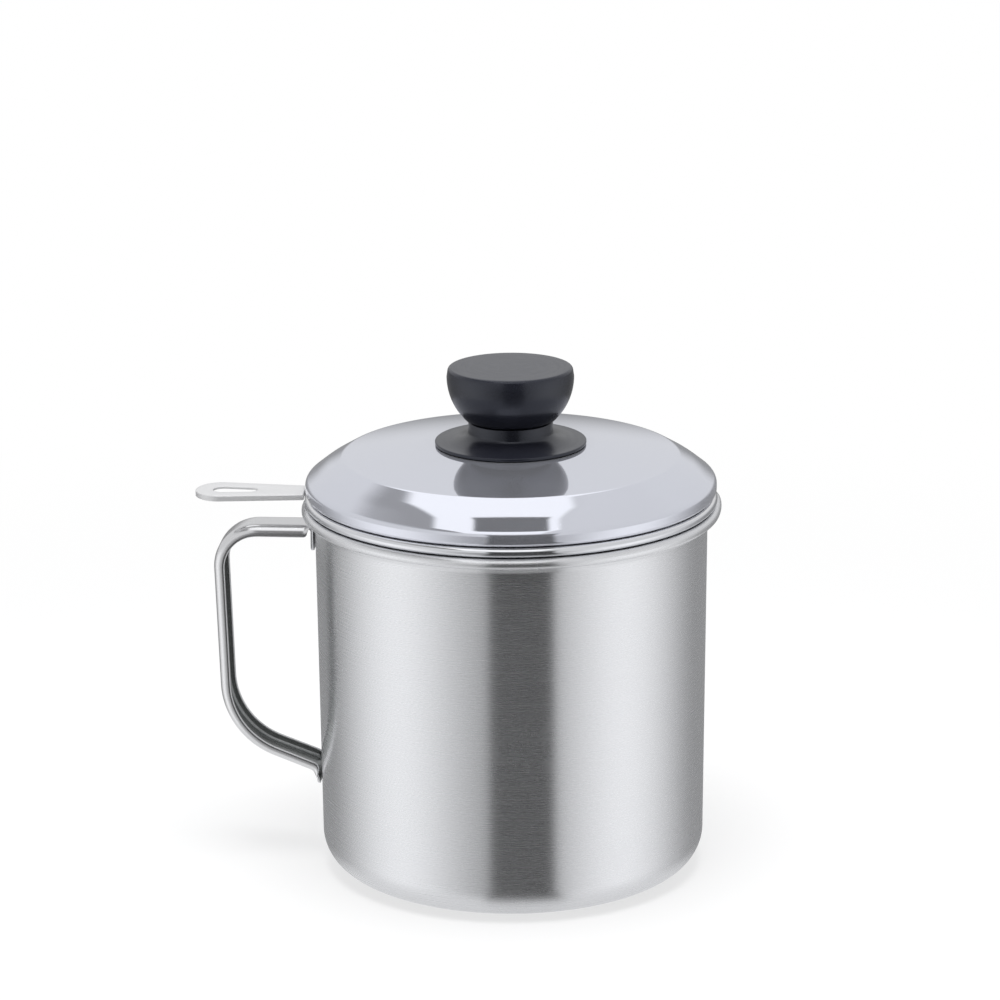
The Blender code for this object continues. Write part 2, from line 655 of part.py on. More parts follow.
def build():
    """Make every piece of the pot, of the strainer that drops into it, and of the lid on top."""
    clear_scene()
    steel = (0.62, 0.62, 0.63)
    bright_steel = (0.75, 0.75, 0.76)
    bakelite = (0.045, 0.045, 0.05)
    brass = (0.70, 0.52, 0.25)

    make_pot_body(finish("pot_body", steel, 0.30, 1.0))
    make_pot_handle(finish("pot_handle", bright_steel, 0.18, 1.0))

    strainer = add_empty("strainer_lift", STRAINER_SEAT)
    make_strainer_bowl(finish("strainer_bowl", bright_steel, 0.08, 1.0), strainer)
    make_strainer_screen(finish("strainer_screen", bright_steel, 0.15, 1.0), strainer)
    make_strainer_handle(finish("strainer_handle", bright_steel, 0.20, 1.0), strainer)

    lid = add_empty("lid_lift", LID_SEAT)
    make_lid_dome(finish("lid_dome", bright_steel, 0.06, 1.0), lid)
    make_lid_skirt(finish("lid_skirt", bright_steel, 0.10, 1.0), lid)
    make_knob_collar(finish("knob_collar", bakelite, 0.42, 0.0), lid)
    make_knob_bowl(finish("knob_bowl", bakelite, 0.40, 0.0), lid)
    make_knob_insert(finish("knob_insert", brass, 0.30, 1.0), lid)
    make_screw_washer(finish("screw_washer", steel, 0.30, 1.0), lid)
    make_knob_screw(finish("knob_screw", steel, 0.25, 1.0), lid)


build()
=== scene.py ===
# A steel grease container, dressed: pot with mug handle, drop-in strainer and lid with a black knob

# %% [markdown]
# The container is pressed and turned from thin steel sheet, apart from its black knob. Nearly every
# piece is round, so nearly every surface here is a profile carried round the pot's axis. The solids
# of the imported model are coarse, so each one is replaced by a fine surface of the same size. The
# frame is in metres, with the pot's axis on Z, its base at zero and its handle towards -X.

# %% Load the frame
import math

import bmesh
import bpy
import numpy as np
from mathutils import Matrix, Vector


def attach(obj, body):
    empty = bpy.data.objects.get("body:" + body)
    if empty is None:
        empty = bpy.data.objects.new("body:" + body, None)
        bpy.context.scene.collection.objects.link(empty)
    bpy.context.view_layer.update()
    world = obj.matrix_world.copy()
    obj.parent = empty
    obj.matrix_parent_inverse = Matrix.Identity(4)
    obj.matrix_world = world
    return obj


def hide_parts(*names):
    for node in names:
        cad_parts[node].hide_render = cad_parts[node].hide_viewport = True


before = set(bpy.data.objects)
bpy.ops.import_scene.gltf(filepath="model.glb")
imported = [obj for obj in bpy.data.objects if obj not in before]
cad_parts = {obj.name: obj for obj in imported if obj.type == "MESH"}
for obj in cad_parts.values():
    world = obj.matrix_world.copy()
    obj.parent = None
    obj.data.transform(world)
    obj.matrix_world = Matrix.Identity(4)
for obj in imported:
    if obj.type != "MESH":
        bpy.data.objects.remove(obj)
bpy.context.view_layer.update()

MM = 0.001

# %% [markdown]
# The camera stands a little above the rim and far away, with a long lens, so the rims are flat
# ellipses and the wall hardly narrows downwards. Its place is given as a distance, an angle above
# the worktop and a turn about the axis. The container's axis doesn't pass through the middle of the
# picture, so the camera is aimed a few pixels to the side and tipped a little, instead of shifted.

# %% Camera
IMAGE_SIZE = 1000
SENSOR_WIDTH = 36.0
FOCAL_PIXELS = 4053.4
CAMERA_DISTANCE = 1.2859
CAMERA_RISE = math.radians(18.30)
CAMERA_TURN = math.radians(4.0)
CAMERA_ROLL = math.radians(-0.391)
AIM_HEIGHT = 0.0551
AIM_PIXEL = (511.5, 691.7)
NEAREST_SEEN = 10.0 * MM


def camera_axes():
    """Right, up and back axes: turned and tipped so that AIM_HEIGHT lands on AIM_PIXEL, then rolled."""
    middle = IMAGE_SIZE / 2
    yaw = math.atan((middle - AIM_PIXEL[0]) / FOCAL_PIXELS)
    tip = CAMERA_RISE + math.atan((middle - AIM_PIXEL[1]) / FOCAL_PIXELS)
    forward = Vector((math.sin(yaw) * math.cos(tip), math.cos(yaw) * math.cos(tip), -math.sin(tip)))
    right = Vector((math.cos(yaw), -math.sin(yaw), 0))
    up = right.cross(forward)
    rolled_right = right * math.cos(CAMERA_ROLL) + up * math.sin(CAMERA_ROLL)
    rolled_up = up * math.cos(CAMERA_ROLL) - right * math.sin(CAMERA_ROLL)
    return rolled_right, rolled_up, -forward


def make_camera():
    """A long lens at CAMERA_DISTANCE from the pot's axis, turned with the view about Z."""
    lens = bpy.data.cameras.new("camera")
    lens.sensor_width = SENSOR_WIDTH
    lens.lens = FOCAL_PIXELS / IMAGE_SIZE * SENSOR_WIDTH
    lens.clip_start = NEAREST_SEEN
    camera = bpy.data.objects.new("camera", lens)
    place = Vector((0, -CAMERA_DISTANCE * math.cos(CAMERA_RISE),
                    AIM_HEIGHT + CAMERA_DISTANCE * math.sin(CAMERA_RISE)))
    axes = Matrix(camera_axes()).transposed().to_4x4()
    camera.matrix_world = Matrix.Rotation(CAMERA_TURN, 4, "Z") @ Matrix.Translation(place) @ axes
    bpy.context.collection.objects.link(camera)
    bpy.context.scene.camera = camera
    return camera


camera = make_camera()
print("lens in mm:", round(camera.data.lens, 1))

# %% [markdown]
# Most pieces start as a line: corners joined by real bends, as a drawing of their section would
# show them. A Bevel modifier could round the corners later, but a bend worked out as an arc has its
# exact radius and meets both sides without a kink. Points on bends are spaced closely, because
# polished steel shows every corner.

# %% Lines and bends
BEND_COUNT = 9
SMALL_BEND_COUNT = 5


def arc(centre, radius, start, end, count=BEND_COUNT):
    """Centre plus radius times the cosine and sine of evenly spaced angles."""
    turn = np.linspace(start, end, count)
    return np.asarray(centre) + radius * np.column_stack((np.cos(turn), np.sin(turn)))


def rounded(corners, bends, count=BEND_COUNT):
    """A line through corners, each inner corner replaced by an arc that touches both of its sides.

    The arc starts bend times the tangent of half the turn before the corner.
    """
    corners = np.asarray(corners, dtype=float)
    parts = [corners[:1]]
    for before, corner, after, bend in zip(corners, corners[1:], corners[2:], bends):
        into = (corner - before) / np.linalg.norm(corner - before)
        out = (after - corner) / np.linalg.norm(after - corner)
        turn = math.atan2(into[0] * out[1] - into[1] * out[0], into @ out)
        start = corner - into * bend * math.tan(abs(turn) / 2)
        side = math.copysign(bend, turn)
        centre = start + np.array((-into[1], into[0])) * side
        first = math.atan2(*(start - centre)[::-1])
        parts.append(arc(centre, bend, first, first + turn, count))
    parts.append(corners[-1:])
    return np.vstack(parts)


def low_corner(radius, height, soft):
    """A rounded lower outer corner: the quarter of a circle from straight down to straight out."""
    return arc((radius - soft, height + soft), soft, -math.pi / 2, 0)


def top_corner(radius, height, soft):
    """A rounded upper outer corner: the quarter of a circle from straight out to straight up."""
    return arc((radius - soft, height - soft), soft, 0, math.pi / 2)


print("a quarter bend has", len(arc((0, 0), MM, 0, math.pi / 2)), "points")

# %% [markdown]
# Sheet metal has two faces that run side by side. So a pressed piece is drawn as the middle line of
# its section, and the two faces are that line moved half a thickness to each side. A Solidify
# modifier could do the same to a finished surface, but moving the line keeps the thickness even
# round the tight curl of a rim. Every rolled rim here has one shape: a flare out of the wall, then
# the curl.

# %% A sheet round its middle line
CURL_END = math.radians(-135)
FLARE_BEND_SHEETS = 5
FLARE_FOOT_SHEETS = 4
MERGE_DISTANCE = 1e-7


def moved_left(line, amount):
    """The line moved to its left: each point goes along the mean normal, longer at a corner."""
    runs = np.diff(line, axis=0)
    runs /= np.linalg.norm(runs, axis=1)[:, None]
    normals = np.column_stack((-runs[:, 1], runs[:, 0]))
    before = np.vstack((normals[:1], normals))
    after = np.vstack((normals, normals[-1:]))
    middle = before + after
    return line + middle * (amount / np.sum(middle * before, axis=1))[:, None]


def sheet_section(line, sheet):
    """The closed outline of a sheet of the given thickness round its middle line."""
    return np.vstack((moved_left(line, sheet / 2), moved_left(line, -sheet / 2)[::-1]))


def without_doubles(line):
    """The line with points that repeat the one before left out."""
    keep = np.r_[True, np.linalg.norm(np.diff(line, axis=0), axis=1) > MERGE_DISTANCE]
    return line[keep]


def rolled_rim(centre, radius, sheet, lean, foot_radius):
    """A flare that leaves the wall at foot_radius, leans out and runs into a curl without a corner."""
    curl = arc(centre, radius - sheet / 2, math.pi - lean, CURL_END, 4 * BEND_COUNT)
    foot_height = curl[0, 1] - (curl[0, 0] - foot_radius) / math.tan(lean)
    knee = np.array((foot_radius, foot_height))
    below = knee - np.array((0, sheet * FLARE_FOOT_SHEETS))
    flare = rounded([below, knee, curl[0]], (sheet * FLARE_BEND_SHEETS,), SMALL_BEND_COUNT)
    return np.vstack((flare[1:-1], curl))


# %% [markdown]
# A turned surface is a grid: one row for each point of the section, one column for each step round
# the axis. Rows that lie on the axis collapse to one point, so those points are merged. The same
# skin function closes every piece in this file and turns its faces outwards.

# %% Skin a grid of points
SMOOTH_ANGLE = math.radians(30)


def grid_faces(rows, columns, wrap_rows):
    """Corner numbers of the cells of a grid, row by row. Each row closes on itself."""
    down = np.arange(rows if wrap_rows else rows - 1)
    row, column = np.meshgrid(down, np.arange(columns), indexing="ij")
    next_row = (row + 1) % rows
    next_column = (column + 1) % columns
    corners = (row * columns + column, row * columns + next_column,
               next_row * columns + next_column, next_row * columns + column)
    return np.stack(corners, axis=-1).reshape(-1, 4)


def skin(name, points, faces):
    """A mesh piece from points and faces: doubles merged, faces outwards, smooth between sharp edges."""
    mesh = bpy.data.meshes.new(name)
    mesh.from_pydata(np.asarray(points).reshape(-1, 3).tolist(), [], [list(face) for face in faces])
    bm = bmesh.new()
    bm.from_mesh(mesh)
    bmesh.ops.remove_doubles(bm, verts=bm.verts, dist=MERGE_DISTANCE)
    bmesh.ops.recalc_face_normals(bm, faces=bm.faces)
    bm.to_mesh(mesh)
    bm.free()
    mesh.shade_smooth()
    mesh.set_sharp_from_angle(angle=SMOOTH_ANGLE)
    piece = bpy.data.objects.new(name, mesh)
    bpy.context.collection.objects.link(piece)
    return piece


# %% [markdown]
# Drawing, spinning and turning all give round pieces, so most sections are carried once round the
# axis. A Screw modifier would do that too. Working out all the points at once lets a piece be
# pushed out of round before it is skinned, as the pot's lip and the screw's recess need.

# %% Turn a section round the axis
TURN_STEPS = 240


def spun(outline, steps, lift):
    """Every outline point (r, height) carried round Z: x = r cos a, y = r sin a, z = height + lift."""
    around = np.linspace(0, math.tau, steps, endpoint=False)
    radius = outline[:, :1]
    return np.stack((radius * np.cos(around), radius * np.sin(around),
                     np.repeat(outline[:, 1:] + lift, steps, axis=1)), axis=-1)


def turned(name, outline, closed=True, steps=TURN_STEPS, lift=0.0, press=None):
    """A spun outline as a piece. press changes the grid of points before it is skinned."""
    outline = without_doubles(np.asarray(outline, dtype=float))
    points = spun(outline, steps, lift)
    if press is not None:
        points = press(points)
    return skin(name, points, grid_faces(len(outline), steps, closed))


# %% [markdown]
# The lid and the strainer lift off, so every surface has to know which of the three moving bodies
# it belongs to and which solid it takes the place of. One function does this for each piece.

# %% Tie a piece to its solid and its body
def dress(piece, node, body):
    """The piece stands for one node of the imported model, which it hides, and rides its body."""
    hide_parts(node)
    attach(piece, body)
    print(piece.name, len(piece.data.polygons), "faces")
    return piece


# %% [markdown]
# The pot is one drawn sheet: flat base, round corner, wall that tapers by little more than a
# millimetre, a flare at the mouth and a rim rolled outwards into a tight curl. Nearly opposite the
# handle the rim is pushed out into a shallow pouring lip. Round the rim the push is one less the
# sine of the way from the lip's middle, so a soft crease runs down the lip. Downwards it fades with
# the square of what is left of the lip's depth.

# %% Pot's sizes, wall and lip
POT_SHEET = 0.6 * MM
POT_WALL_RADIUS = 61.4 * MM
POT_TAPER = 0.9 * MM
POT_CORNER_RADIUS = 11.4 * MM
POT_CURL_RADIUS = 1.65 * MM
POT_RIM_OVERHANG = 4.1 * MM
POT_HEIGHT = 117.65 * MM
POT_FLARE_LEAN = math.radians(20)
LIP_REACH = 1.1 * MM
LIP_DEPTH = 10.0 * MM
LIP_AZIMUTH = math.radians(13)
LIP_HALF_ANGLE = math.radians(20)
LIP_CREASE = 0.12
pot_rim_centre = POT_WALL_RADIUS + POT_RIM_OVERHANG - POT_CURL_RADIUS
pot_curl_height = POT_HEIGHT - POT_CURL_RADIUS


def pot_wall_radius(height):
    """Outer radius of the wall: it shrinks evenly from the rim to the base corner."""
    return POT_WALL_RADIUS - POT_TAPER * (POT_HEIGHT - height) / (POT_HEIGHT - POT_CORNER_RADIUS)


def press_lip(points):
    """Push points outwards near LIP_AZIMUTH: reach x rise squared x (1 - sine of the turn away).

    The turn is the square root of its square plus LIP_CREASE squared, which rounds the crease.
    """
    radius = np.hypot(points[..., 0], points[..., 1])
    away = (np.arctan2(points[..., 1], points[..., 0]) - LIP_AZIMUTH) / LIP_HALF_ANGLE
    rise = np.clip((points[..., 2] - (POT_HEIGHT - LIP_DEPTH)) / LIP_DEPTH, 0, 1)
    soft_turn = np.minimum(np.hypot(away, LIP_CREASE), 1)
    bump = (1 - np.sin(soft_turn * math.pi / 2)) / (1 - math.sin(LIP_CREASE * math.pi / 2))
    scale = 1 + LIP_REACH * rise**2 * bump / np.maximum(radius, POT_SHEET)
    return points * np.stack((scale, scale, np.ones_like(scale)), axis=-1)


print("pot across its wall in mm:", round(2 * pot_wall_radius(POT_HEIGHT) / MM, 1))

# %% [markdown]
# The pot is brushed outside and turned inside, and the strainer's dish is hazier inside than
# outside. Both insides are also lighter in colour, which is painted light. One mesh can carry both
# finishes, because every face has a material number of its own.
# Faces picked by hand would be wrong as soon as a size changes, so each face's own direction
# decides.

# %% Two finishes on one piece
def finish_inside_with_painted_light(piece, top=math.inf):
    """Give the second finish, lightened with painted light, to faces below top that turn more inwards and
    up than out and down.
    """
    count = len(piece.data.polygons)
    centres = np.empty(count * 3)
    normals = np.empty(count * 3)
    piece.data.polygons.foreach_get("center", centres)
    piece.data.polygons.foreach_get("normal", normals)
    x, y, z = centres.reshape(-1, 3).T
    normal_x, normal_y, normal_z = normals.reshape(-1, 3).T
    inward = -(x * normal_x + y * normal_y) / np.maximum(np.hypot(x, y), POT_SHEET)
    inside = ((inward + normal_z > 0) & (z < top)).astype(np.int32)
    piece.data.polygons.foreach_set("material_index", inside)
    print(piece.name, "faces outside and inside:", np.bincount(inside))


# %% [markdown]
# The pot's line runs from the axis along the base, round the corner, up the wall and over the rim.
# Its rows lie closer together towards the rim, where the lip needs them. The section's first and
# last points are put back on the axis, so the base closes without a hole.

# %% Pot
WALL_ROWS = 24
POT_STEPS = 360
inside_top = pot_curl_height - POT_CURL_RADIUS - POT_RIM_OVERHANG / 2


def make_pot():
    """The drawn cup from the middle line of its sheet. The wall's rows lie closer towards the rim.

    Each row's share of the wall is the square root of evenly spaced shares.
    """
    half = POT_SHEET / 2
    base_radius = POT_WALL_RADIUS - POT_TAPER
    corner = arc((base_radius - POT_CORNER_RADIUS, POT_CORNER_RADIUS), POT_CORNER_RADIUS - half,
                 -math.pi / 2, 0, 2 * BEND_COUNT)
    rim = rolled_rim((pot_rim_centre, pot_curl_height), POT_CURL_RADIUS, POT_SHEET,
                     POT_FLARE_LEAN, POT_WALL_RADIUS - half)
    wall_share = np.sqrt(np.linspace(0, 1, WALL_ROWS + 2)[1:-1, None])
    wall = corner[-1] + (rim[0] - corner[-1]) * wall_share
    base_share = np.linspace(0, 1, WALL_ROWS)[:-1, None]
    middle = np.array((0, half))
    base = middle + (corner[0] - middle) * base_share
    section = sheet_section(without_doubles(np.vstack((base, corner, wall, rim))), POT_SHEET)
    section[[0, -1], 0] = 0
    piece = turned("steel_pot", section, closed=False, steps=POT_STEPS, press=press_lip)
    finish_inside_with_painted_light(piece, inside_top)
    return piece


pot = dress(make_pot(), "pot_body", "pot")

# %% [markdown]
# The mug handle is a pressed channel: a flat web on the outside and a flange along each edge, bent
# towards the pot. Where it meets the wall the flanges run out and the web bends into a tongue,
# which is welded on. It is made as a section carried along a line. Seen from the side, the line is
# the outer face of the web: five straight runs with four bends between them.

# %% Handle's line
HANDLE_SHEET = 0.9 * MM
HANDLE_REACH = 94.0 * MM
HANDLE_KNEE_REACH = 91.8 * MM
HANDLE_ARM_DROP = 7.2 * MM
HANDLE_TOP_TONGUE = 8.1 * MM
HANDLE_KNEE_HEIGHT = 40.5 * MM
HANDLE_ARM_SLOPE = math.radians(21)
HANDLE_FOOT_HEIGHT = 25.4 * MM
HANDLE_BENDS = (1.8 * MM, 14.0 * MM, 26.0 * MM, 4.0 * MM)
SEAT_GAP = 0.3 * MM


def handle_line():
    """Outer face of the web as (radius, height), from the top tongue round to the foot."""
    arm = POT_HEIGHT - HANDLE_ARM_DROP
    top = pot_wall_radius(arm) + SEAT_GAP
    drop = (HANDLE_KNEE_REACH - POT_WALL_RADIUS) * math.tan(HANDLE_ARM_SLOPE)
    bend_height = HANDLE_KNEE_HEIGHT - drop
    foot = pot_wall_radius(bend_height) + SEAT_GAP + HANDLE_SHEET
    corners = ((top, arm - HANDLE_TOP_TONGUE), (top, arm), (HANDLE_REACH, arm),
               (HANDLE_KNEE_REACH, HANDLE_KNEE_HEIGHT), (foot, bend_height), (foot, HANDLE_FOOT_HEIGHT))
    return rounded(corners, HANDLE_BENDS, 4 * BEND_COUNT)


def along(line):
    """Distance along the line to each of its points."""
    return np.r_[0, np.cumsum(np.linalg.norm(np.diff(line, axis=0), axis=1))]


def evenly(line, count):
    """The line again, with count points at equal distances."""
    length = along(line)
    at = np.linspace(0, length[-1], count)
    return np.column_stack([np.interp(at, length, line[:, axis]) for axis in (0, 1)])


print("handle's line in mm:", round(along(handle_line())[-1] / MM, 1))

# %% [markdown]
# A curve with a bevel profile can only shrink its section as a whole. Here the flanges fade while
# the web keeps its thickness. So the section's points are written as so many parts of the half
# width, the flange depth, the sheet and the two corner radii, and one product of two arrays works
# out the whole handle.

# %% Handle's section
HANDLE_WIDTH = 13.0 * MM
HANDLE_FOOT_WIDTH = 14.5 * MM
FLANGE_TOP_DEPTH = 3.7 * MM
FLANGE_FOOT_DEPTH = 3.3 * MM
FLANGE_LIP = 1.0 * MM
FLANGE_RAMP = 1.8 * MM
FLANGE_OVERRUNS = (0.6 * MM, 2.6 * MM)
WEB_CORNER = 2.8 * MM
WEB_CORNER_SHARE = 0.75
INNER_CORNER = 1.8 * MM
TONGUE_ROUND = 2.0 * MM
TONGUE_ROUND_SHARE = 0.7


def channel_rows():
    """Section points as parts of (half width, depth, sheet, outer corner, inner corner).

    The first table holds how far each point lies sideways, the second how far inwards.
    """
    turn = np.linspace(0, math.pi / 2, BEND_COUNT)
    zero = np.zeros(BEND_COUNT)
    one = np.ones(BEND_COUNT)
    outer_side = np.column_stack((one, zero, zero, np.sin(turn) - 1, zero))
    outer_in = np.column_stack((zero, zero, zero, 1 - np.cos(turn), zero))
    tip = np.linspace(0, math.pi, BEND_COUNT)
    tip_side = np.column_stack((one, zero, (np.cos(tip) - 1) / 2, zero, zero))
    tip_in = np.column_stack((zero, one, (np.sin(tip) - 1) / 2, zero, zero))
    inner_side = np.column_stack((one, zero, -one, zero, np.cos(turn) - 1))
    inner_in = np.column_stack((zero, zero, one, zero, 1 - np.sin(turn)))
    side = np.vstack((outer_side, tip_side, inner_side))
    inwards = np.vstack((outer_in, tip_in, inner_in))
    return np.vstack((side, -side[::-1])), np.vstack((inwards, inwards[::-1]))


def handle_sizes(length):
    """Half width, flange depth, sheet, outer and inner corner radius at each length along the handle.

    The flanges fade at both ends with the sine of their ramp. The web widens towards the foot with
    the cube of the share of the way, and the ends of both tongues are rounded as parts of a circle.
    """
    start = HANDLE_TOP_TONGUE + (math.pi / 2 - 1) * HANDLE_BENDS[0] - FLANGE_OVERRUNS[0]
    foot_turn = math.pi / 2 - HANDLE_ARM_SLOPE
    foot_tongue = handle_line()[-2, 1] - HANDLE_FOOT_HEIGHT
    end = length[-1] - foot_tongue - HANDLE_BENDS[3] * foot_turn + FLANGE_OVERRUNS[1]
    share = np.clip((length - start) / (end - start), 0, 1)
    fade = np.clip(np.minimum(length - start, end - length) / FLANGE_RAMP, 0, 1)
    full = FLANGE_TOP_DEPTH + (FLANGE_FOOT_DEPTH - FLANGE_TOP_DEPTH) * share
    depth = FLANGE_LIP + (full - FLANGE_LIP) * np.sin(fade * math.pi / 2)
    half = (HANDLE_WIDTH + (HANDLE_FOOT_WIDTH - HANDLE_WIDTH) * share**3) / 2
    from_end = np.minimum(length, length[-1] - length)
    rounding = np.sqrt(np.clip(1 - (1 - from_end / TONGUE_ROUND).clip(0, 1) ** 2, 0, 1))
    half = half - TONGUE_ROUND * TONGUE_ROUND_SHARE * (1 - rounding)
    corner = np.minimum(WEB_CORNER, depth * WEB_CORNER_SHARE)
    inner = np.clip((depth - HANDLE_SHEET) / 2, 0, INNER_CORNER)
    return np.column_stack((half, depth, np.full(len(length), HANDLE_SHEET), corner, inner))


print("points round the channel:", len(channel_rows()[0]))

# %% [markdown]
# The handle is that section put down at every station of the line, with a flat face to close the
# end of each tongue. Polishing doesn't reach its hollow, so the hollow has a duller finish of its
# own, and its colour is much darker, which is painted shade.

# %% Handle
STATIONS = 240


def finish_hollow_with_painted_shade(piece, columns):
    """Give the second finish, duller and darkened with painted shade, to the channel's inside: the middle
    third of every row of faces.
    """
    column = np.arange(len(piece.data.polygons)) % columns
    inside = (column >= 2 * BEND_COUNT - 1) & (column <= columns - 2 * BEND_COUNT)
    piece.data.polygons.foreach_set("material_index", inside.astype(np.int32))


def make_handle():
    """The channel's section carried along the handle's line, each point reaching inwards from it."""
    line = evenly(handle_line(), STATIONS)
    ahead = np.gradient(line, axis=0)
    ahead /= np.linalg.norm(ahead, axis=1)[:, None]
    inward = np.column_stack((ahead[:, 1], -ahead[:, 0]))
    amounts = handle_sizes(along(line))
    side, reach = (amounts @ parts.T for parts in channel_rows())
    radius = line[:, :1] + inward[:, :1] * reach
    height = line[:, 1:] + inward[:, 1:] * reach
    points = np.stack((-radius, side, height), axis=-1)
    faces = grid_faces(STATIONS, points.shape[1], wrap_rows=False).tolist()
    last = np.arange(points.shape[1])
    ends = [last.tolist(), (last + (STATIONS - 1) * points.shape[1]).tolist()]
    piece = skin("steel_handle", points, faces + ends)
    finish_hollow_with_painted_shade(piece, points.shape[1])
    return piece


handle = dress(make_handle(), "pot_handle", "pot")

# %% [markdown]
# The strainer hangs in the pot by its own rolled rim. Below the wall it turns in and goes down in
# three terraces to a short neck. Each terrace is a shallow tread and a steep riser with small
# bends, which catch the light as bright rings.

# %% Strainer bowl
STRAINER_SHEET = 0.6 * MM
STRAINER_RIM_INSET = 0.85 * MM
STRAINER_CURL_RADIUS = 1.5 * MM
STRAINER_RIM_OVERHANG = 4.3 * MM
STRAINER_FLARE_LEAN = math.radians(32)
STRAINER_WALL_DEPTH = 12.8 * MM
STRAINER_CORNER_RADIUS = 7.0 * MM
STRAINER_CORNER_SWEEP = math.radians(60)
TERRACE_COUNT = 3
TERRACE_BEND = 0.5 * MM
TREAD_DROP = 0.9 * MM
RISER_RUN = 0.6 * MM
SCREEN_SHEET = 0.5 * MM
SCREEN_RADIUS = 47.5 * MM
SCREEN_EDGE_HEIGHT = 2.2 * MM
STRAINER_DEPTH = 27.0 * MM
NECK_OVERLAP = 1.4 * MM
strainer_rim_centre = pot_rim_centre - STRAINER_RIM_INSET
strainer_wall_radius = strainer_rim_centre + STRAINER_CURL_RADIUS - STRAINER_RIM_OVERHANG
rim_contact = POT_CURL_RADIUS + STRAINER_CURL_RADIUS + SEAT_GAP
strainer_seat = pot_curl_height + math.sqrt(rim_contact**2 - STRAINER_RIM_INSET**2)


def terraces(start, end):
    """Corners of the steps from start to end: treads fall TREAD_DROP, risers run RISER_RUN."""
    count = np.arange(TERRACE_COUNT)
    tread = (start[0] - end[0] - RISER_RUN * (TERRACE_COUNT - 1)) / TERRACE_COUNT
    riser = (start[1] - end[1] - TREAD_DROP * TERRACE_COUNT) / (TERRACE_COUNT - 1)
    foot_radius = start[0] - tread * (count + 1) - RISER_RUN * count
    foot_height = start[1] - TREAD_DROP * (count + 1) - riser * count
    treads = np.column_stack((foot_radius, foot_height))
    risers = treads - np.array((RISER_RUN, riser))
    return np.stack((treads, risers), axis=1).reshape(-1, 2)[:-1]


def make_bowl():
    """The spun dish from the middle line of its sheet, measured from the middle of its rim."""
    half = STRAINER_SHEET / 2
    wall = strainer_wall_radius - half
    centre = (wall - STRAINER_CORNER_RADIUS, -STRAINER_WALL_DEPTH)
    corner = arc(centre, STRAINER_CORNER_RADIUS, -STRAINER_CORNER_SWEEP, 0)
    neck_radius = SCREEN_RADIUS - SCREEN_SHEET - SEAT_GAP - half
    neck_top = SCREEN_EDGE_HEIGHT + SEAT_GAP + half - STRAINER_DEPTH
    steps = terraces(corner[0], (neck_radius, neck_top))[::-1]
    foot = np.array([(neck_radius, neck_top - NECK_OVERLAP - half)])
    low = np.vstack((foot, steps, corner[:1]))
    low = rounded(low, [TERRACE_BEND] * (len(low) - 2), SMALL_BEND_COUNT)
    rim = rolled_rim((strainer_rim_centre, 0), STRAINER_CURL_RADIUS, STRAINER_SHEET,
                     STRAINER_FLARE_LEAN, wall)
    line = without_doubles(np.vstack((low, corner, rim)))
    piece = turned("strainer_dish", sheet_section(line, STRAINER_SHEET), lift=strainer_seat)
    finish_inside_with_painted_light(piece)
    return piece


bowl = dress(make_bowl(), "strainer_bowl", "strainer")

# %% [markdown]
# The screen is a disc punched with rows of small round holes and pressed over the neck by its
# turned-up edge. Cutting well over a thousand holes with booleans would be slow. Instead each hole
# gets a six-sided cell of its own, as in a honeycomb: twelve points round the cell, twelve round
# the hole.

# %% Holes and their cells
HOLE_PITCH = 2.05 * MM
HOLE_RADIUS = 0.56 * MM
HOLE_FIELD = 43.6 * MM
CELL_POINTS = 12
row_pitch = HOLE_PITCH * math.sin(math.pi / 3)


def hole_places():
    """Middles of the holes: rows half a pitch apart in turn, kept inside HOLE_FIELD."""
    rows = int(HOLE_FIELD / row_pitch) + 1
    row, column = np.meshgrid(np.arange(-rows, rows + 1), np.arange(-rows, rows + 1), indexing="ij")
    x = (column + (row % 2) / 2) * HOLE_PITCH
    y = row * row_pitch
    inside = np.hypot(x, y) <= HOLE_FIELD
    return np.column_stack((x[inside], y[inside]))


def cell_faces(count):
    """Corner numbers of a cell's cover, floor and hole wall, for every cell."""
    now = np.arange(CELL_POINTS)
    following = (now + 1) % CELL_POINTS
    rim_top, hole_top, hole_low, rim_low = (now + CELL_POINTS * ring for ring in range(4))
    next_rings = [following + CELL_POINTS * ring for ring in range(4)]
    cover = np.column_stack((rim_top, next_rings[0], next_rings[1], hole_top))
    wall = np.column_stack((hole_top, next_rings[1], next_rings[2], hole_low))
    floor = np.column_stack((hole_low, next_rings[2], next_rings[3], rim_low))
    one_cell = np.vstack((cover, wall, floor))
    return (one_cell[None] + np.arange(count)[:, None, None] * 4 * CELL_POINTS).reshape(-1, 4)


def cell_points(places, top, low):
    """Rings round each place: cell side at the top, hole at the top, hole below, cell side below."""
    turn = np.arange(CELL_POINTS) * math.tau / CELL_POINTS
    corner = HOLE_PITCH / math.sqrt(3)
    side = np.where(np.arange(CELL_POINTS) % 2 == 0, HOLE_PITCH / 2, corner)
    ring = np.column_stack((np.cos(turn), np.sin(turn)))
    shapes = (ring * side[:, None], ring * HOLE_RADIUS, ring * HOLE_RADIUS, ring * side[:, None])
    heights = (top, top, low, low)
    layers = [np.dstack((places[:, None] + shape, np.full((len(places), CELL_POINTS), height)))
              for shape, height in zip(shapes, heights)]
    return np.concatenate(layers, axis=1).reshape(-1, 3)


print("rows of holes in mm:", round(row_pitch / MM, 2))

# %% [markdown]
# Neighbouring cells share their sides, so merging their points makes one sheet of them. That leaves
# a strip between the outermost cells and the round edge, above and below, with a ragged inner side.
# It is filled with triangles. No open edge should be left after that.

# %% Strainer screen
SCREEN_CORNER = 0.9 * MM
CELL_MERGE_SHARE = 0.01
FIELD_EDGE = 45.4 * MM
HEIGHT_DIGITS = 6


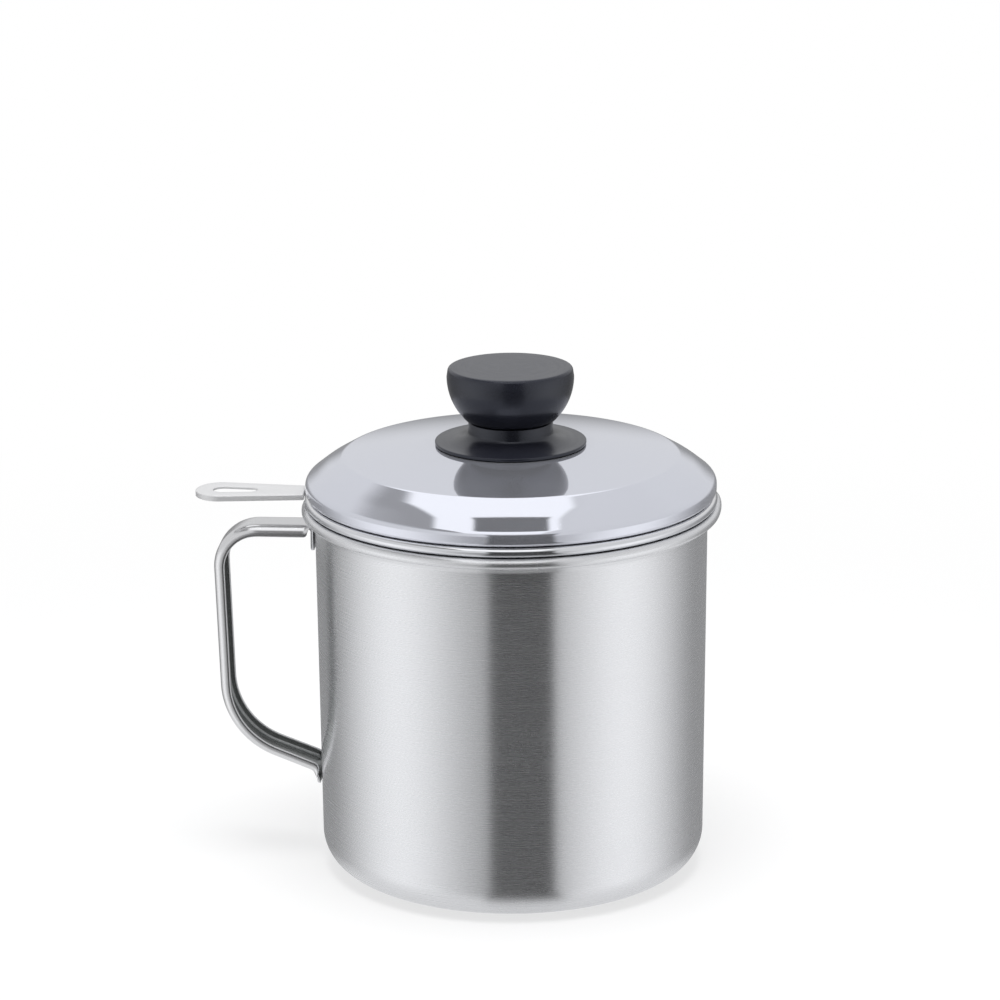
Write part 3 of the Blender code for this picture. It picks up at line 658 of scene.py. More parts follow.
def fill_strips(piece):
    """Fill the flat strip between the outermost cells and the round edge, above and below."""
    bm = bmesh.new()
    bm.from_mesh(piece.data)
    bmesh.ops.remove_doubles(bm, verts=bm.verts, dist=HOLE_RADIUS * CELL_MERGE_SHARE)
    rims = [edge for edge in bm.edges if edge.is_boundary]
    for height in sorted({round(edge.verts[0].co.z, HEIGHT_DIGITS) for edge in rims}):
        edges = [edge for edge in rims if round(edge.verts[0].co.z, HEIGHT_DIGITS) == height]
        bmesh.ops.triangle_fill(bm, use_beauty=True, use_dissolve=False, edges=edges)
    bmesh.ops.recalc_face_normals(bm, faces=bm.faces)
    open_edges = sum(edge.is_boundary for edge in bm.edges)
    bm.to_mesh(piece.data)
    bm.free()
    piece.data.shade_smooth()
    piece.data.set_sharp_from_angle(angle=SMOOTH_ANGLE)
    return open_edges


def make_screen():
    """Honeycomb of holes plus the round edge that turns up over the strainer's neck."""
    low = strainer_seat - STRAINER_DEPTH
    top = low + SCREEN_SHEET
    places = hole_places()
    cells = cell_points(places, top, low)
    wall = SCREEN_RADIUS - SCREEN_SHEET / 2
    line = rounded(((FIELD_EDGE, SCREEN_SHEET / 2), (wall, SCREEN_SHEET / 2), (wall, SCREEN_EDGE_HEIGHT)),
                   (SCREEN_CORNER,))
    section = sheet_section(without_doubles(line), SCREEN_SHEET)
    edge = spun(section, TURN_STEPS, low)
    edge_faces = grid_faces(len(section), TURN_STEPS, wrap_rows=False) + len(cells)
    faces = np.vstack((cell_faces(len(places)), edge_faces))
    piece = skin("strainer_sieve", np.vstack((cells, edge.reshape(-1, 3))), faces)
    print("holes:", len(places), "open edges left:", fill_strips(piece))
    return piece


screen = dress(make_screen(), "strainer_screen", "strainer")

# %% [markdown]
# The thumb tab is a narrow plate with its edges turned down and a slot through it, welded to the
# strainer's rim. Seen from above it has two outlines, its own edge and the slot's. Each can be
# moved in or out by an amount, which gives all the lines that the rounded edges need.

# %% Tab's outlines
TAB_LENGTH = 34.5 * MM
TAB_ROOT_WIDTH = 11.0 * MM
TAB_WIDTH = 16.8 * MM
TAB_NOSE_LENGTH = 8.0 * MM
SLOT_START = 15.0 * MM
SLOT_LENGTH = 14.0 * MM
SLOT_WIDTH = 6.4 * MM
SLOT_ROOT_WIDTH = 4.8 * MM
tab_root = strainer_rim_centre + STRAINER_CURL_RADIUS + SEAT_GAP
tab_middle = tab_root + SLOT_START + SLOT_LENGTH / 2


def tab_edge(inset):
    """The tab's outline moved inwards: root arc along the rim, straight sides, half-oval nose."""
    root = tab_root + inset
    tip = tab_root + TAB_LENGTH - inset
    nose = tip - TAB_NOSE_LENGTH + inset
    half_root = TAB_ROOT_WIDTH / 2 - inset
    half_width = TAB_WIDTH / 2 - inset
    turn = np.linspace(math.pi / 2, -math.pi / 2, 10 * BEND_COUNT)
    front = np.column_stack((nose + (tip - nose) * np.cos(turn), half_width * np.sin(turn)))
    swing = math.asin(half_root / root)
    return np.vstack((front, arc((0, 0), root, -swing, swing, 2 * BEND_COUNT)))


def slot_edge(outset):
    """The slot's outline moved outwards: a wide round end, straight sides, a narrower round end."""
    start = tab_root + SLOT_START
    inner = SLOT_ROOT_WIDTH / 2
    outer = SLOT_WIDTH / 2
    quarter = math.pi / 2
    far = arc((start + SLOT_LENGTH - outer, 0), outer + outset, quarter, -quarter, 4 * BEND_COUNT)
    near = arc((start + inner, 0), inner + outset, -quarter, -3 * quarter, 4 * BEND_COUNT)
    return np.vstack((far, near))


print("slot's middle from the axis in mm:", round(tab_middle / MM, 1))

# %% [markdown]
# The tab is a closed band: rings of points, all read at the same angles about the slot's middle.
# Going from ring to ring the surface runs down the slot's wall, out under the plate, down and round
# the turned edge, and back over the top to the slot. So the slot needs no boolean, and its soft
# edges are part of the shape.

# %% Strainer tab
TAB_SHEET = 0.8 * MM
TAB_EDGE_DEPTH = 1.8 * MM
TAB_RISE = 1.2 * MM
TAB_EDGE_ROUND = 0.35 * MM
TAB_ROUND_STEPS = 6
TAB_STEPS = 320
EDGE_SPLITS = 40


def at_angles(outline, turns):
    """Where the outline lies at the given angles about the slot's middle: radius read off by angle."""
    away = np.vstack((outline, outline[:1])) - np.array((tab_middle, 0))
    fine = np.linspace(0, 1, EDGE_SPLITS)[:-1, None, None]
    away = (away[None, :-1] * (1 - fine) + away[None, 1:] * fine).reshape(-1, 2)
    angle = np.arctan2(away[:, 1], away[:, 0])
    order = np.argsort(angle)
    radius = np.interp(turns, angle[order], np.hypot(*away.T)[order], period=math.tau)
    return np.column_stack((tab_middle + radius * np.cos(turns), radius * np.sin(turns)))


def make_tab():
    """Rings from the slot, under the plate, round the turned edge and over the top."""
    top = TAB_RISE
    under = TAB_RISE - TAB_SHEET
    foot = TAB_RISE - TAB_EDGE_DEPTH
    soft = TAB_EDGE_ROUND
    cut = soft / 3
    quarter = np.linspace(0, math.pi / 2, TAB_ROUND_STEPS)
    over = [(soft * (1 - math.cos(a)), top - soft + soft * math.sin(a)) for a in quarter]
    rings = [(slot_edge, *ring) for ring in over[::-1]]
    rings += [(slot_edge, 0, under), (slot_edge, soft, under)]
    rings += [(tab_edge, TAB_SHEET + soft * (1 - math.sin(a)), under - soft * (1 - math.cos(a)))
              for a in quarter]
    rings += [(tab_edge, TAB_SHEET, foot + cut), (tab_edge, TAB_SHEET - cut, foot),
              (tab_edge, cut, foot), (tab_edge, 0, foot + cut)]
    rings += [(tab_edge, *ring) for ring in over]
    turns = np.linspace(-math.pi, math.pi, TAB_STEPS, endpoint=False)
    points = []
    for outline, amount, height in rings:
        flat = at_angles(outline(amount), turns)
        level = np.full(TAB_STEPS, height + strainer_seat)
        points.append(np.column_stack((-flat[:, 0], flat[:, 1], level)))
    return skin("strainer_tab", np.array(points), grid_faces(len(rings), TAB_STEPS, wrap_rows=True))


tab = dress(make_tab(), "strainer_handle", "strainer")

# %% [markdown]
# The lid is spun from one sheet: a low crown, a crease, a steep shoulder and an upright edge that
# is hemmed inwards. The crown is a parabola, and its height as a function of radius is used again
# by the knob's collar, which sits on it.

# %% Lid
LID_SHEET = 0.6 * MM
LID_RIM_INSET = 0.3 * MM
LID_EDGE_HEIGHT = 4.0 * MM
LID_EDGE_BEND = 1.2 * MM
LID_KNUCKLE_BEND = 2.2 * MM
LID_CREASE_RADIUS = 52.4 * MM
LID_CREASE_HEIGHT = 12.1 * MM
LID_CREASE_BEND = 3.0 * MM
LID_SHOULDER_BULGE = 0.5 * MM
LID_SHOULDER_BEND = 30.0 * MM
LID_CROWN = 4.0 * MM
CROWN_ROWS = 40
SKIRT_CLEARANCE = 0.9 * MM
SCREW_RADIUS = 2.0 * MM
lid_seat = strainer_seat + STRAINER_CURL_RADIUS + SEAT_GAP
lid_radius = strainer_rim_centre + STRAINER_CURL_RADIUS - LID_RIM_INSET
lid_top = LID_CREASE_HEIGHT + LID_CROWN
skirt_radius = strainer_wall_radius - STRAINER_SHEET - SKIRT_CLEARANCE
screw_hole = SCREW_RADIUS + SEAT_GAP


def dome_height(radius):
    """Outer face of the crown over the lid's seat: the top less a drop that grows with radius squared."""
    return lid_top - LID_CROWN * (radius / LID_CREASE_RADIUS) ** 2


def make_lid():
    """Crown, crease, shoulder, edge and hem as one bent sheet."""
    half = LID_SHEET / 2
    edge = lid_radius - half
    crown_radius = np.linspace(screw_hole, LID_CREASE_RADIUS - LID_CREASE_BEND, CROWN_ROWS)
    crown = np.column_stack((crown_radius, dome_height(crown_radius) - half))
    crease = np.array((LID_CREASE_RADIUS, LID_CREASE_HEIGHT - half))
    knuckle = np.array((edge, LID_EDGE_HEIGHT))
    slope = (knuckle - crease) / np.linalg.norm(knuckle - crease)
    middle = (crease + knuckle) / 2 + np.array((-slope[1], slope[0])) * LID_SHOULDER_BULGE
    hem = np.array(((edge, half), (skirt_radius + SEAT_GAP, half)))
    bends = (LID_CREASE_BEND, LID_SHOULDER_BEND, LID_KNUCKLE_BEND, LID_EDGE_BEND)
    outside = rounded(np.vstack((crown[-1:], crease, middle, knuckle, hem)), bends, 2 * BEND_COUNT)
    section = sheet_section(without_doubles(np.vstack((crown[:-1], outside))), LID_SHEET)
    return turned("lid_cover", section, lift=lid_seat)


lid = dress(make_lid(), "lid_dome", "lid")

# %% [markdown]
# A separate ring, the skirt, is held in the lid's hem and hangs into the strainer's mouth, where it
# keeps the lid in the middle. Its radius is worked out from the strainer's wall, so the two keep
# their clearance when a size changes.

# %% Skirt
SKIRT_SHEET = 0.5 * MM
SKIRT_DEPTH = 9.2 * MM
SKIRT_STEP_HEIGHT = 3.0 * MM
SKIRT_STEP = 0.3 * MM
SKIRT_STEP_RUN = 0.4 * MM
SKIRT_BEND = 0.6 * MM


def make_skirt():
    """Flange in the hem, wall down into the strainer, and a small step in above the lower edge."""
    half = SKIRT_SHEET / 2
    flange_height = LID_SHEET + SEAT_GAP + half
    flange_end = lid_radius - LID_SHEET / 2 - LID_EDGE_BEND
    wall = skirt_radius - half
    step = SKIRT_STEP_HEIGHT - SKIRT_DEPTH
    corners = ((flange_end, flange_height), (wall, flange_height), (wall, step),
               (wall - SKIRT_STEP, step - SKIRT_STEP_RUN), (wall - SKIRT_STEP, -SKIRT_DEPTH))
    line = rounded(corners, (SKIRT_BEND, SKIRT_BEND / 2, SKIRT_BEND / 2))
    return turned("lid_ring", sheet_section(line, SKIRT_SHEET), lift=lid_seat)


skirt = dress(make_skirt(), "lid_skirt", "lid")

# %% [markdown]
# The knob is moulded in two black pieces. The lower one is a collar: a neck on a wide heat disc,
# hollowed below to fit the crown. A moulding has no even wall, so its whole outline is drawn and
# turned.

# %% Knob's collar
COLLAR_RADIUS = 23.6 * MM
COLLAR_EDGE = 1.0 * MM
COLLAR_EDGE_ROUND = 0.3 * MM
NECK_RADIUS = 13.2 * MM
NECK_TOP = 6.7 * MM
FLARE_HEIGHT = 3.0 * MM
KNOB_STEPS = 160


def make_collar():
    """Underside that follows the crown, thin edge, flare as a quarter of an ellipse, straight neck."""
    rim_foot = float(dome_height(COLLAR_RADIUS)) + SEAT_GAP
    rim_top = rim_foot + COLLAR_EDGE
    under_radius = np.linspace(screw_hole, COLLAR_RADIUS - COLLAR_EDGE_ROUND, BEND_COUNT)
    under = np.column_stack((under_radius, dome_height(under_radius) + SEAT_GAP))
    soft = COLLAR_EDGE_ROUND
    low_edge = low_corner(COLLAR_RADIUS, rim_foot, soft)
    high_edge = top_corner(COLLAR_RADIUS, rim_top, soft)
    turn = np.linspace(0, math.pi / 2, 3 * BEND_COUNT)
    reach = COLLAR_RADIUS - soft - NECK_RADIUS
    flare = np.column_stack((NECK_RADIUS + reach * (1 - np.sin(turn)),
                             rim_top + FLARE_HEIGHT * (1 - np.cos(turn))))
    neck_top = lid_top + NECK_TOP
    neck = top_corner(NECK_RADIUS, neck_top, soft)
    top = np.array([(screw_hole, neck_top)])
    outline = np.vstack((under[:-1], low_edge, high_edge, flare[1:], neck, top))
    return turned("knob_base", outline, steps=KNOB_STEPS, lift=lid_seat)


collar = dress(make_collar(), "knob_collar", "lid")

# %% [markdown]
# The grip is a small bowl with a flat top. Its side is part of an ellipse, widest a little below
# the top, so it draws in smoothly to the foot, which a few arcs wouldn't do as well. A bore from
# below takes a brass bush.

# %% Knob's grip
KNOB_RADIUS = 19.8 * MM
KNOB_HEIGHT = 16.8 * MM
KNOB_WAIST = 2.9 * MM
KNOB_CURVE = 19.2 * MM
KNOB_EDGE_ROUND = 0.9 * MM
KNOB_EDGE_BEND = 1.08 * MM
KNOB_FOOT_RADIUS = 13.0 * MM
INSERT_RADIUS = 4.0 * MM
INSERT_LENGTH = 8.5 * MM
grip_foot = lid_top + NECK_TOP + SEAT_GAP


def make_grip():
    """Flat top, soft edge, side as part of an ellipse down to the foot, and the bore for the bush."""
    top = grip_foot + KNOB_HEIGHT
    widest = top - KNOB_WAIST
    side_foot = grip_foot + KNOB_EDGE_ROUND / 2
    height = widest + (side_foot - widest) * np.linspace(0, 1, 4 * BEND_COUNT)
    side = np.column_stack((KNOB_RADIUS * np.sqrt(1 - ((widest - height) / KNOB_CURVE) ** 2), height))
    flat = np.column_stack((np.linspace(0, KNOB_RADIUS - 2 * KNOB_EDGE_ROUND, BEND_COUNT),
                            np.full(BEND_COUNT, top)))
    edge = rounded((flat[-1], (KNOB_RADIUS - KNOB_EDGE_ROUND / 2, top), side[0]), (KNOB_EDGE_BEND,))
    bore = INSERT_RADIUS + SEAT_GAP
    bore_top = grip_foot + INSERT_LENGTH + SEAT_GAP
    inside = np.array(((KNOB_FOOT_RADIUS, grip_foot), (bore, grip_foot), (bore, bore_top), (0, bore_top)))
    outline = np.vstack((flat[:-1], edge[:-1], side, inside))
    return turned("knob_grip", outline, closed=False, steps=KNOB_STEPS, lift=lid_seat)


grip = dress(make_grip(), "knob_bowl", "lid")

# %% [markdown]
# The bush is there because a thread cut in the moulding alone would soon wear out. It is turned
# from brass, with a groove round its middle that locks it in place.

# %% Brass bush
INSERT_GROOVE = 0.5 * MM
INSERT_GROOVE_WIDTH = 1.6 * MM


def make_bush():
    """Brass bush with a groove round its middle that locks it in the grip."""
    middle = grip_foot + INSERT_LENGTH / 2
    low_groove = middle - INSERT_GROOVE_WIDTH / 2
    high_groove = middle + INSERT_GROOVE_WIDTH / 2
    top = grip_foot + INSERT_LENGTH
    neck = INSERT_RADIUS - INSERT_GROOVE
    outline = ((screw_hole, grip_foot), (INSERT_RADIUS, grip_foot), (INSERT_RADIUS, low_groove),
               (neck, low_groove), (neck, high_groove), (INSERT_RADIUS, high_groove),
               (INSERT_RADIUS, top), (screw_hole, top))
    return turned("knob_bush", outline, steps=KNOB_STEPS, lift=lid_seat)


bush = dress(make_bush(), "knob_insert", "lid")

# %% [markdown]
# Under the crown the screw's head and its washer are all that shows. The head is flat with a
# rounded edge and a cross recess. Its face is a grid of rings, and each point is pushed in by an
# amount that depends on how far it lies from the two arms of the cross.

# %% Screw and washer
SCREW_HEAD_RADIUS = 3.8 * MM
SCREW_HEAD_HEIGHT = 2.4 * MM
SCREW_HEAD_ROUND = 0.8 * MM
SCREW_GRIP = 7.0 * MM
WASHER_RADIUS = 5.5 * MM
WASHER_THICKNESS = 1.0 * MM
WASHER_SOFT = 0.15 * MM
RECESS_DEPTH = 1.1 * MM
RECESS_REACH = 2.0 * MM
RECESS_HALF_WIDTH = 0.42 * MM
RECESS_FOOT_SHARE = 2.0
RECESS_SLOPE_SHARE = 0.8
THREAD_PITCH = 0.7 * MM
THREAD_DEPTH = 0.14 * MM
THREAD_STEPS = 6
washer_top = lid_top - LID_SHEET - SEAT_GAP
head_top = washer_top - WASHER_THICKNESS - SEAT_GAP


def press_recess(points):
    """Raise the head's face inside the cross: depth x soft step across each arm x fade at its end."""
    x, y, z = points[..., 0], points[..., 1], points[..., 2]
    low = lid_seat + head_top - SCREW_HEAD_HEIGHT
    from_arm = np.minimum(np.abs(x), np.abs(y)) / RECESS_HALF_WIDTH
    near = np.clip((RECESS_FOOT_SHARE - from_arm) * RECESS_SLOPE_SHARE, 0, 1)
    short = np.clip((RECESS_REACH - np.maximum(np.abs(x), np.abs(y))) / RECESS_HALF_WIDTH, 0, 1)
    on_head = z < low + SCREW_HEAD_ROUND / 2
    raised = z + np.where(on_head, RECESS_DEPTH * near * short, 0)
    return np.stack((x, y, raised), axis=-1)


def make_screw():
    """Head, shank whose thread is a cosine of the height, and a pointed end."""
    low = head_top - SCREW_HEAD_HEIGHT
    soft = SCREW_HEAD_ROUND
    tip = grip_foot + SCREW_GRIP
    face_radius = np.linspace(0, SCREW_HEAD_RADIUS - soft, 6 * BEND_COUNT)
    face = np.column_stack((face_radius, np.full(len(face_radius), low)))
    edge = low_corner(SCREW_HEAD_RADIUS, low, soft)
    top = np.array(((SCREW_HEAD_RADIUS, head_top), (SCREW_RADIUS, head_top)))
    height = np.arange(head_top + THREAD_PITCH, tip - SCREW_RADIUS, THREAD_PITCH / THREAD_STEPS)
    groove = THREAD_DEPTH / 2 * (1 - np.cos(height / THREAD_PITCH * math.tau))
    thread = np.column_stack((SCREW_RADIUS - groove, height))
    end = np.array(((SCREW_RADIUS, tip - SCREW_RADIUS / 2), (SCREW_RADIUS / 2, tip), (0, tip)))
    outline = np.vstack((face[:-1], edge, top, thread, end))
    return turned("knob_bolt", outline, closed=False, steps=KNOB_STEPS, lift=lid_seat, press=press_recess)


def make_washer():
    """A flat ring with softened outer edges."""
    low = washer_top - WASHER_THICKNESS
    outer = np.vstack((low_corner(WASHER_RADIUS, low, WASHER_SOFT),
                       top_corner(WASHER_RADIUS, washer_top, WASHER_SOFT)))
    outline = np.vstack(((screw_hole, low), outer, (screw_hole, washer_top)))
    return turned("knob_washer", outline, steps=KNOB_STEPS, lift=lid_seat)


bolt = dress(make_screw(), "knob_screw", "lid")
washer = dress(make_washer(), "screw_washer", "lid")

# %% [markdown]
# Materials are node trees. Small helpers keep them readable: one adds a node and feeds its sockets
# with numbers or links, and the others each do one step, such as a sum, a soft step or a mix of two
# colours.

# %% Node helpers
WHITE = (1.0, 1.0, 1.0, 1.0)


def feed(tree, socket, value):
    """Link the socket if value is another socket, or else set its own value."""
    if isinstance(value, bpy.types.NodeSocket):
        tree.links.new(value, socket)
    else:
        socket.default_value = value


def feed_all(tree, node, **inputs):
    """Feed a node's sockets by name, underscores standing for spaces."""
    for name, value in inputs.items():
        feed(tree, node.inputs[name.replace("_", " ")], value)


def add(tree, kind, settings=None, **inputs):
    """A new node: its settings first, because they decide which sockets it has, then its inputs."""
    node = tree.nodes.new(kind)
    for name, value in (settings or {}).items():
        setattr(node, name, value)
    feed_all(tree, node, **inputs)
    return node


def calc(tree, operation, first, second=0.0):
    """One step of arithmetic on two numbers."""
    node = add(tree, "ShaderNodeMath", {"operation": operation})
    feed(tree, node.inputs[0], first)
    feed(tree, node.inputs[1], second)
    return node.outputs[0]


def smooth_step(tree, value, low, high, to_low=0.0, to_high=1.0):
    """A number that goes smoothly from to_low to to_high while value goes from low to high."""
    node = add(tree, "ShaderNodeMapRange", {"interpolation_type": "SMOOTHSTEP"}, Value=value,
               From_Min=low, From_Max=high, To_Min=to_low, To_Max=to_high)
    return node.outputs[0]


def distance(tree, place):
    """The length of a vector."""
    return add(tree, "ShaderNodeVectorMath", {"operation": "LENGTH"}, Vector=place).outputs["Value"]


def mixed(tree, share, first, second):
    """The first colour where share is zero, the second where it is one."""
    mix = add(tree, "ShaderNodeMix", {"data_type": "RGBA"}, Factor=share, A=first, B=second)
    return mix.outputs["Result"]


# %% [markdown]
# A pattern should stay where it is on a piece when the piece is lifted. So every pattern reads
# Object coordinates, which move with the piece. A pattern that several materials use is a node
# group: it is built once and placed in each material with that material's own values.

# %% Places, noise and groups
def own_place(tree):
    """A point's x, y and z on its own piece."""
    return add(tree, "ShaderNodeTexCoord").outputs["Object"]


def soft_noise(tree, scale, detail):
    """Noise over the piece: scale features in a metre, with detail finer layers on them."""
    noise = add(tree, "ShaderNodeTexNoise", Vector=own_place(tree), Scale=scale, Detail=detail)
    return noise.outputs["Fac"]


def new_group(name, inputs, output):
    """An empty node group with named numbers going in and one coming out."""
    group = bpy.data.node_groups.new(name, "ShaderNodeTree")
    for label in inputs:
        group.interface.new_socket(label, in_out="INPUT", socket_type="NodeSocketFloat")
    group.interface.new_socket(output, in_out="OUTPUT", socket_type="NodeSocketFloat")
    return group, group.nodes.new("NodeGroupInput"), group.nodes.new("NodeGroupOutput")


def placed(tree, group, **inputs):
    """What a shared group puts out, when it is placed in a material with its own values."""
    return add(tree, "ShaderNodeGroup", {"node_tree": group}, **inputs).outputs[0]


# %% [markdown]
# Polishing and turning leave lines that run round the axis. This group makes such hairlines: it
# reads noise that changes fast with radius and height, but slowly on the way round. An image could
# show the lines too, but noise needs no unwrapping and has no seam.

# %% Hairlines
NEAREST_AXIS = 0.01 * MM
LINE_DETAIL = 3.0


def axis_distance(tree, parts):
    """How far a place is from the axis: the length of its x and y, and never quite zero."""
    flat = add(tree, "ShaderNodeCombineXYZ", X=parts.outputs["X"], Y=parts.outputs["Y"]).outputs[0]
    return calc(tree, "MAXIMUM", distance(tree, flat), NEAREST_AXIS)


def make_hairlines():
    """Noise on (direction from the axis, radius x fineness) with height x fineness as fourth axis."""
    group, source, result = new_group("hairlines", ("Fineness", "Patches"), "Lines")
    parts = add(group, "ShaderNodeSeparateXYZ", Vector=own_place(group))
    radius = axis_distance(group, parts)
    patches = calc(group, "DIVIDE", source.outputs["Patches"], radius)
    along_x = calc(group, "MULTIPLY", parts.outputs["X"], patches)
    along_y = calc(group, "MULTIPLY", parts.outputs["Y"], patches)
    across = calc(group, "MULTIPLY", radius, source.outputs["Fineness"])
    where = add(group, "ShaderNodeCombineXYZ", X=along_x, Y=along_y, Z=across).outputs[0]
    up = calc(group, "MULTIPLY", parts.outputs["Z"], source.outputs["Fineness"])
    noise = add(group, "ShaderNodeTexNoise", {"noise_dimensions": "4D"}, Vector=where, W=up, Scale=1.0,
                Detail=LINE_DETAIL)
    feed(group, result.inputs["Lines"], noise.outputs["Fac"])
    return group


hairlines = make_hairlines()

# %% [markdown]
# The second group makes the regular rings that a turning tool cuts. The third makes the faint
# patches that handling and drying leave on steel, which show only as a change of gloss.

# %% Turning rings and handling marks
BROAD_DETAIL = 2.0
BROAD_BAND = (0.48, 0.68)
BROKEN_TIMES = 7.0
BROKEN_DETAIL = 4.0
BROKEN_BAND = (0.35, 0.65)


def make_rings():
    """A wave that rises and falls once in each pitch of radius plus height, from zero to one."""
    group, source, result = new_group("turning_rings", ("Pitch",), "Rings")
    parts = add(group, "ShaderNodeSeparateXYZ", Vector=own_place(group))
    run = calc(group, "ADD", axis_distance(group, parts), parts.outputs["Z"])
    turns = calc(group, "DIVIDE", run, source.outputs["Pitch"])
    wave = calc(group, "SINE", calc(group, "MULTIPLY", turns, math.tau))
    feed(group, result.inputs["Rings"], smooth_step(group, wave, -1.0, 1.0))
    return group


def make_marks():
    """Two sizes of soft noise, multiplied, so that patches are rare and their edges are broken."""
    group, source, result = new_group("handling_marks", ("Size",), "Marks")
    size = source.outputs["Size"]
    patch = smooth_step(group, soft_noise(group, size, BROAD_DETAIL), *BROAD_BAND)
    fine_size = calc(group, "MULTIPLY", size, BROKEN_TIMES)
    broken = smooth_step(group, soft_noise(group, fine_size, BROKEN_DETAIL), *BROKEN_BAND)
    feed(group, result.inputs["Marks"], calc(group, "MULTIPLY", patch, broken))
    return group


turning_rings = make_rings()
handling_marks = make_marks()
print("groups:", [group.name for group in bpy.data.node_groups])

# %% [markdown]
# Every finish varies a little in three ways: its surface, its colour and its gloss. On metal the
# gloss shows most. Marks of handling are never drawn as colour here. They only make the finish a
# trace rougher where they lie.

# %% Bumps, colour and gloss
MARK_SIZE = 28.0
LINE_BAND = (0.3, 0.7)


def new_material(name):
    """A new material, its node tree and its shader."""
    material = bpy.data.materials.new(name)
    material.use_nodes = True
    return material, material.node_tree, material.node_tree.nodes["Principled BSDF"]


def bump(tree, height, depth, normal=None):
    """The normal bent by a height in shares of depth, on top of another bent normal if one is given."""
    node = add(tree, "ShaderNodeBump", Height=height, Strength=1.0, Distance=depth)
    if normal is not None:
        feed(tree, node.inputs["Normal"], normal)
    return node.outputs["Normal"]


def varied_colour(tree, colour, darkest, share):
    """The colour where share is one, and darkest times the colour where it is zero."""
    return mixed(tree, share, (*(part * darkest for part in colour), 1.0), (*colour, 1.0))


def worn_roughness(tree, lines, low, high, rise):
    """Roughness from low to high with the hairlines, plus rise where the handling marks are."""
    marks = placed(tree, handling_marks, Size=MARK_SIZE)
    gloss = smooth_step(tree, lines, *LINE_BAND, low, high)
    return calc(tree, "ADD", calc(tree, "MULTIPLY", marks, rise), gloss)


# %% [markdown]
# All finishes of steel share one recipe. Hairlines set a little bump and vary the roughness and,
# faintly, the colour, and handling marks raise the roughness in patches. A satin wall is rough
# across its lines and smooth along them, so highlights stretch up and down: that is the shader's
# anisotropy, with a tangent that runs round the axis. The inside of the pot also has the turning
# tool's rings, broken up by coarse hairlines. They bend the light, and in the colour they are painted
# shade, darker in each ring, because a bump alone hardly shows where the surroundings are even. The
# outside of the strainer and the lid are mirrors, and slow waves bend what the two reflect.

# %% Steel
PATCHES = 2.5
MARK_RISE = 0.012
SHADE_BAND = (0.2, 0.8)
GLOSS_SPREAD = 0.035
DARKEST_LINE = 0.99
WAVE_SCALE = 22.0
GROOVE_PITCH = 1.2 * MM
GROOVE_FINENESS = 300.0
# Painted shade: how dark the colour gets in each turned ring.
DARKEST_PAINTED_GROOVE_SHADE = 0.74
QUARTER_TURN = 0.25


def steel(name, colour, roughness, fineness, depth, waves=0.0, grooves=0.0, stretch=0.0, bare=1.0):
    """Turned steel: roughness varied by hairlines and marks, and up to three bumps on each other.

    A bare share under one leaves a faint haze on the metal.
    """
    material, tree, shader = new_material(name)
    lines = placed(tree, hairlines, Fineness=fineness, Patches=PATCHES)
    spread = roughness * GLOSS_SPREAD
    gloss = worn_roughness(tree, lines, roughness - spread, roughness + spread, MARK_RISE)
    normal = bump(tree, lines, depth)
    if waves:
        normal = bump(tree, soft_noise(tree, WAVE_SCALE, 0.0), waves, normal)
    if grooves:
        coarse = placed(tree, hairlines, Fineness=GROOVE_FINENESS, Patches=PATCHES)
        rings = placed(tree, turning_rings, Pitch=GROOVE_PITCH)
        cut = calc(tree, "MULTIPLY", rings, smooth_step(tree, coarse, *LINE_BAND))
        normal = bump(tree, cut, grooves, normal)
        # Painted shade: the colour darkens in each ring, as if the groove held shade.
        shade = varied_colour(tree, colour, DARKEST_PAINTED_GROOVE_SHADE, calc(tree, "SUBTRACT", 1.0, cut))
    else:
        shade = varied_colour(tree, colour, DARKEST_LINE, smooth_step(tree, lines, *SHADE_BAND))
    feed_all(tree, shader, Base_Color=shade, Metallic=bare, Roughness=gloss, Normal=normal)
    if stretch:
        tangent = add(tree, "ShaderNodeTangent", {"direction_type": "RADIAL", "axis": "Z"}).outputs[0]
        feed_all(tree, shader, Anisotropic=stretch, Anisotropic_Rotation=QUARTER_TURN, Tangent=tangent)
    return material
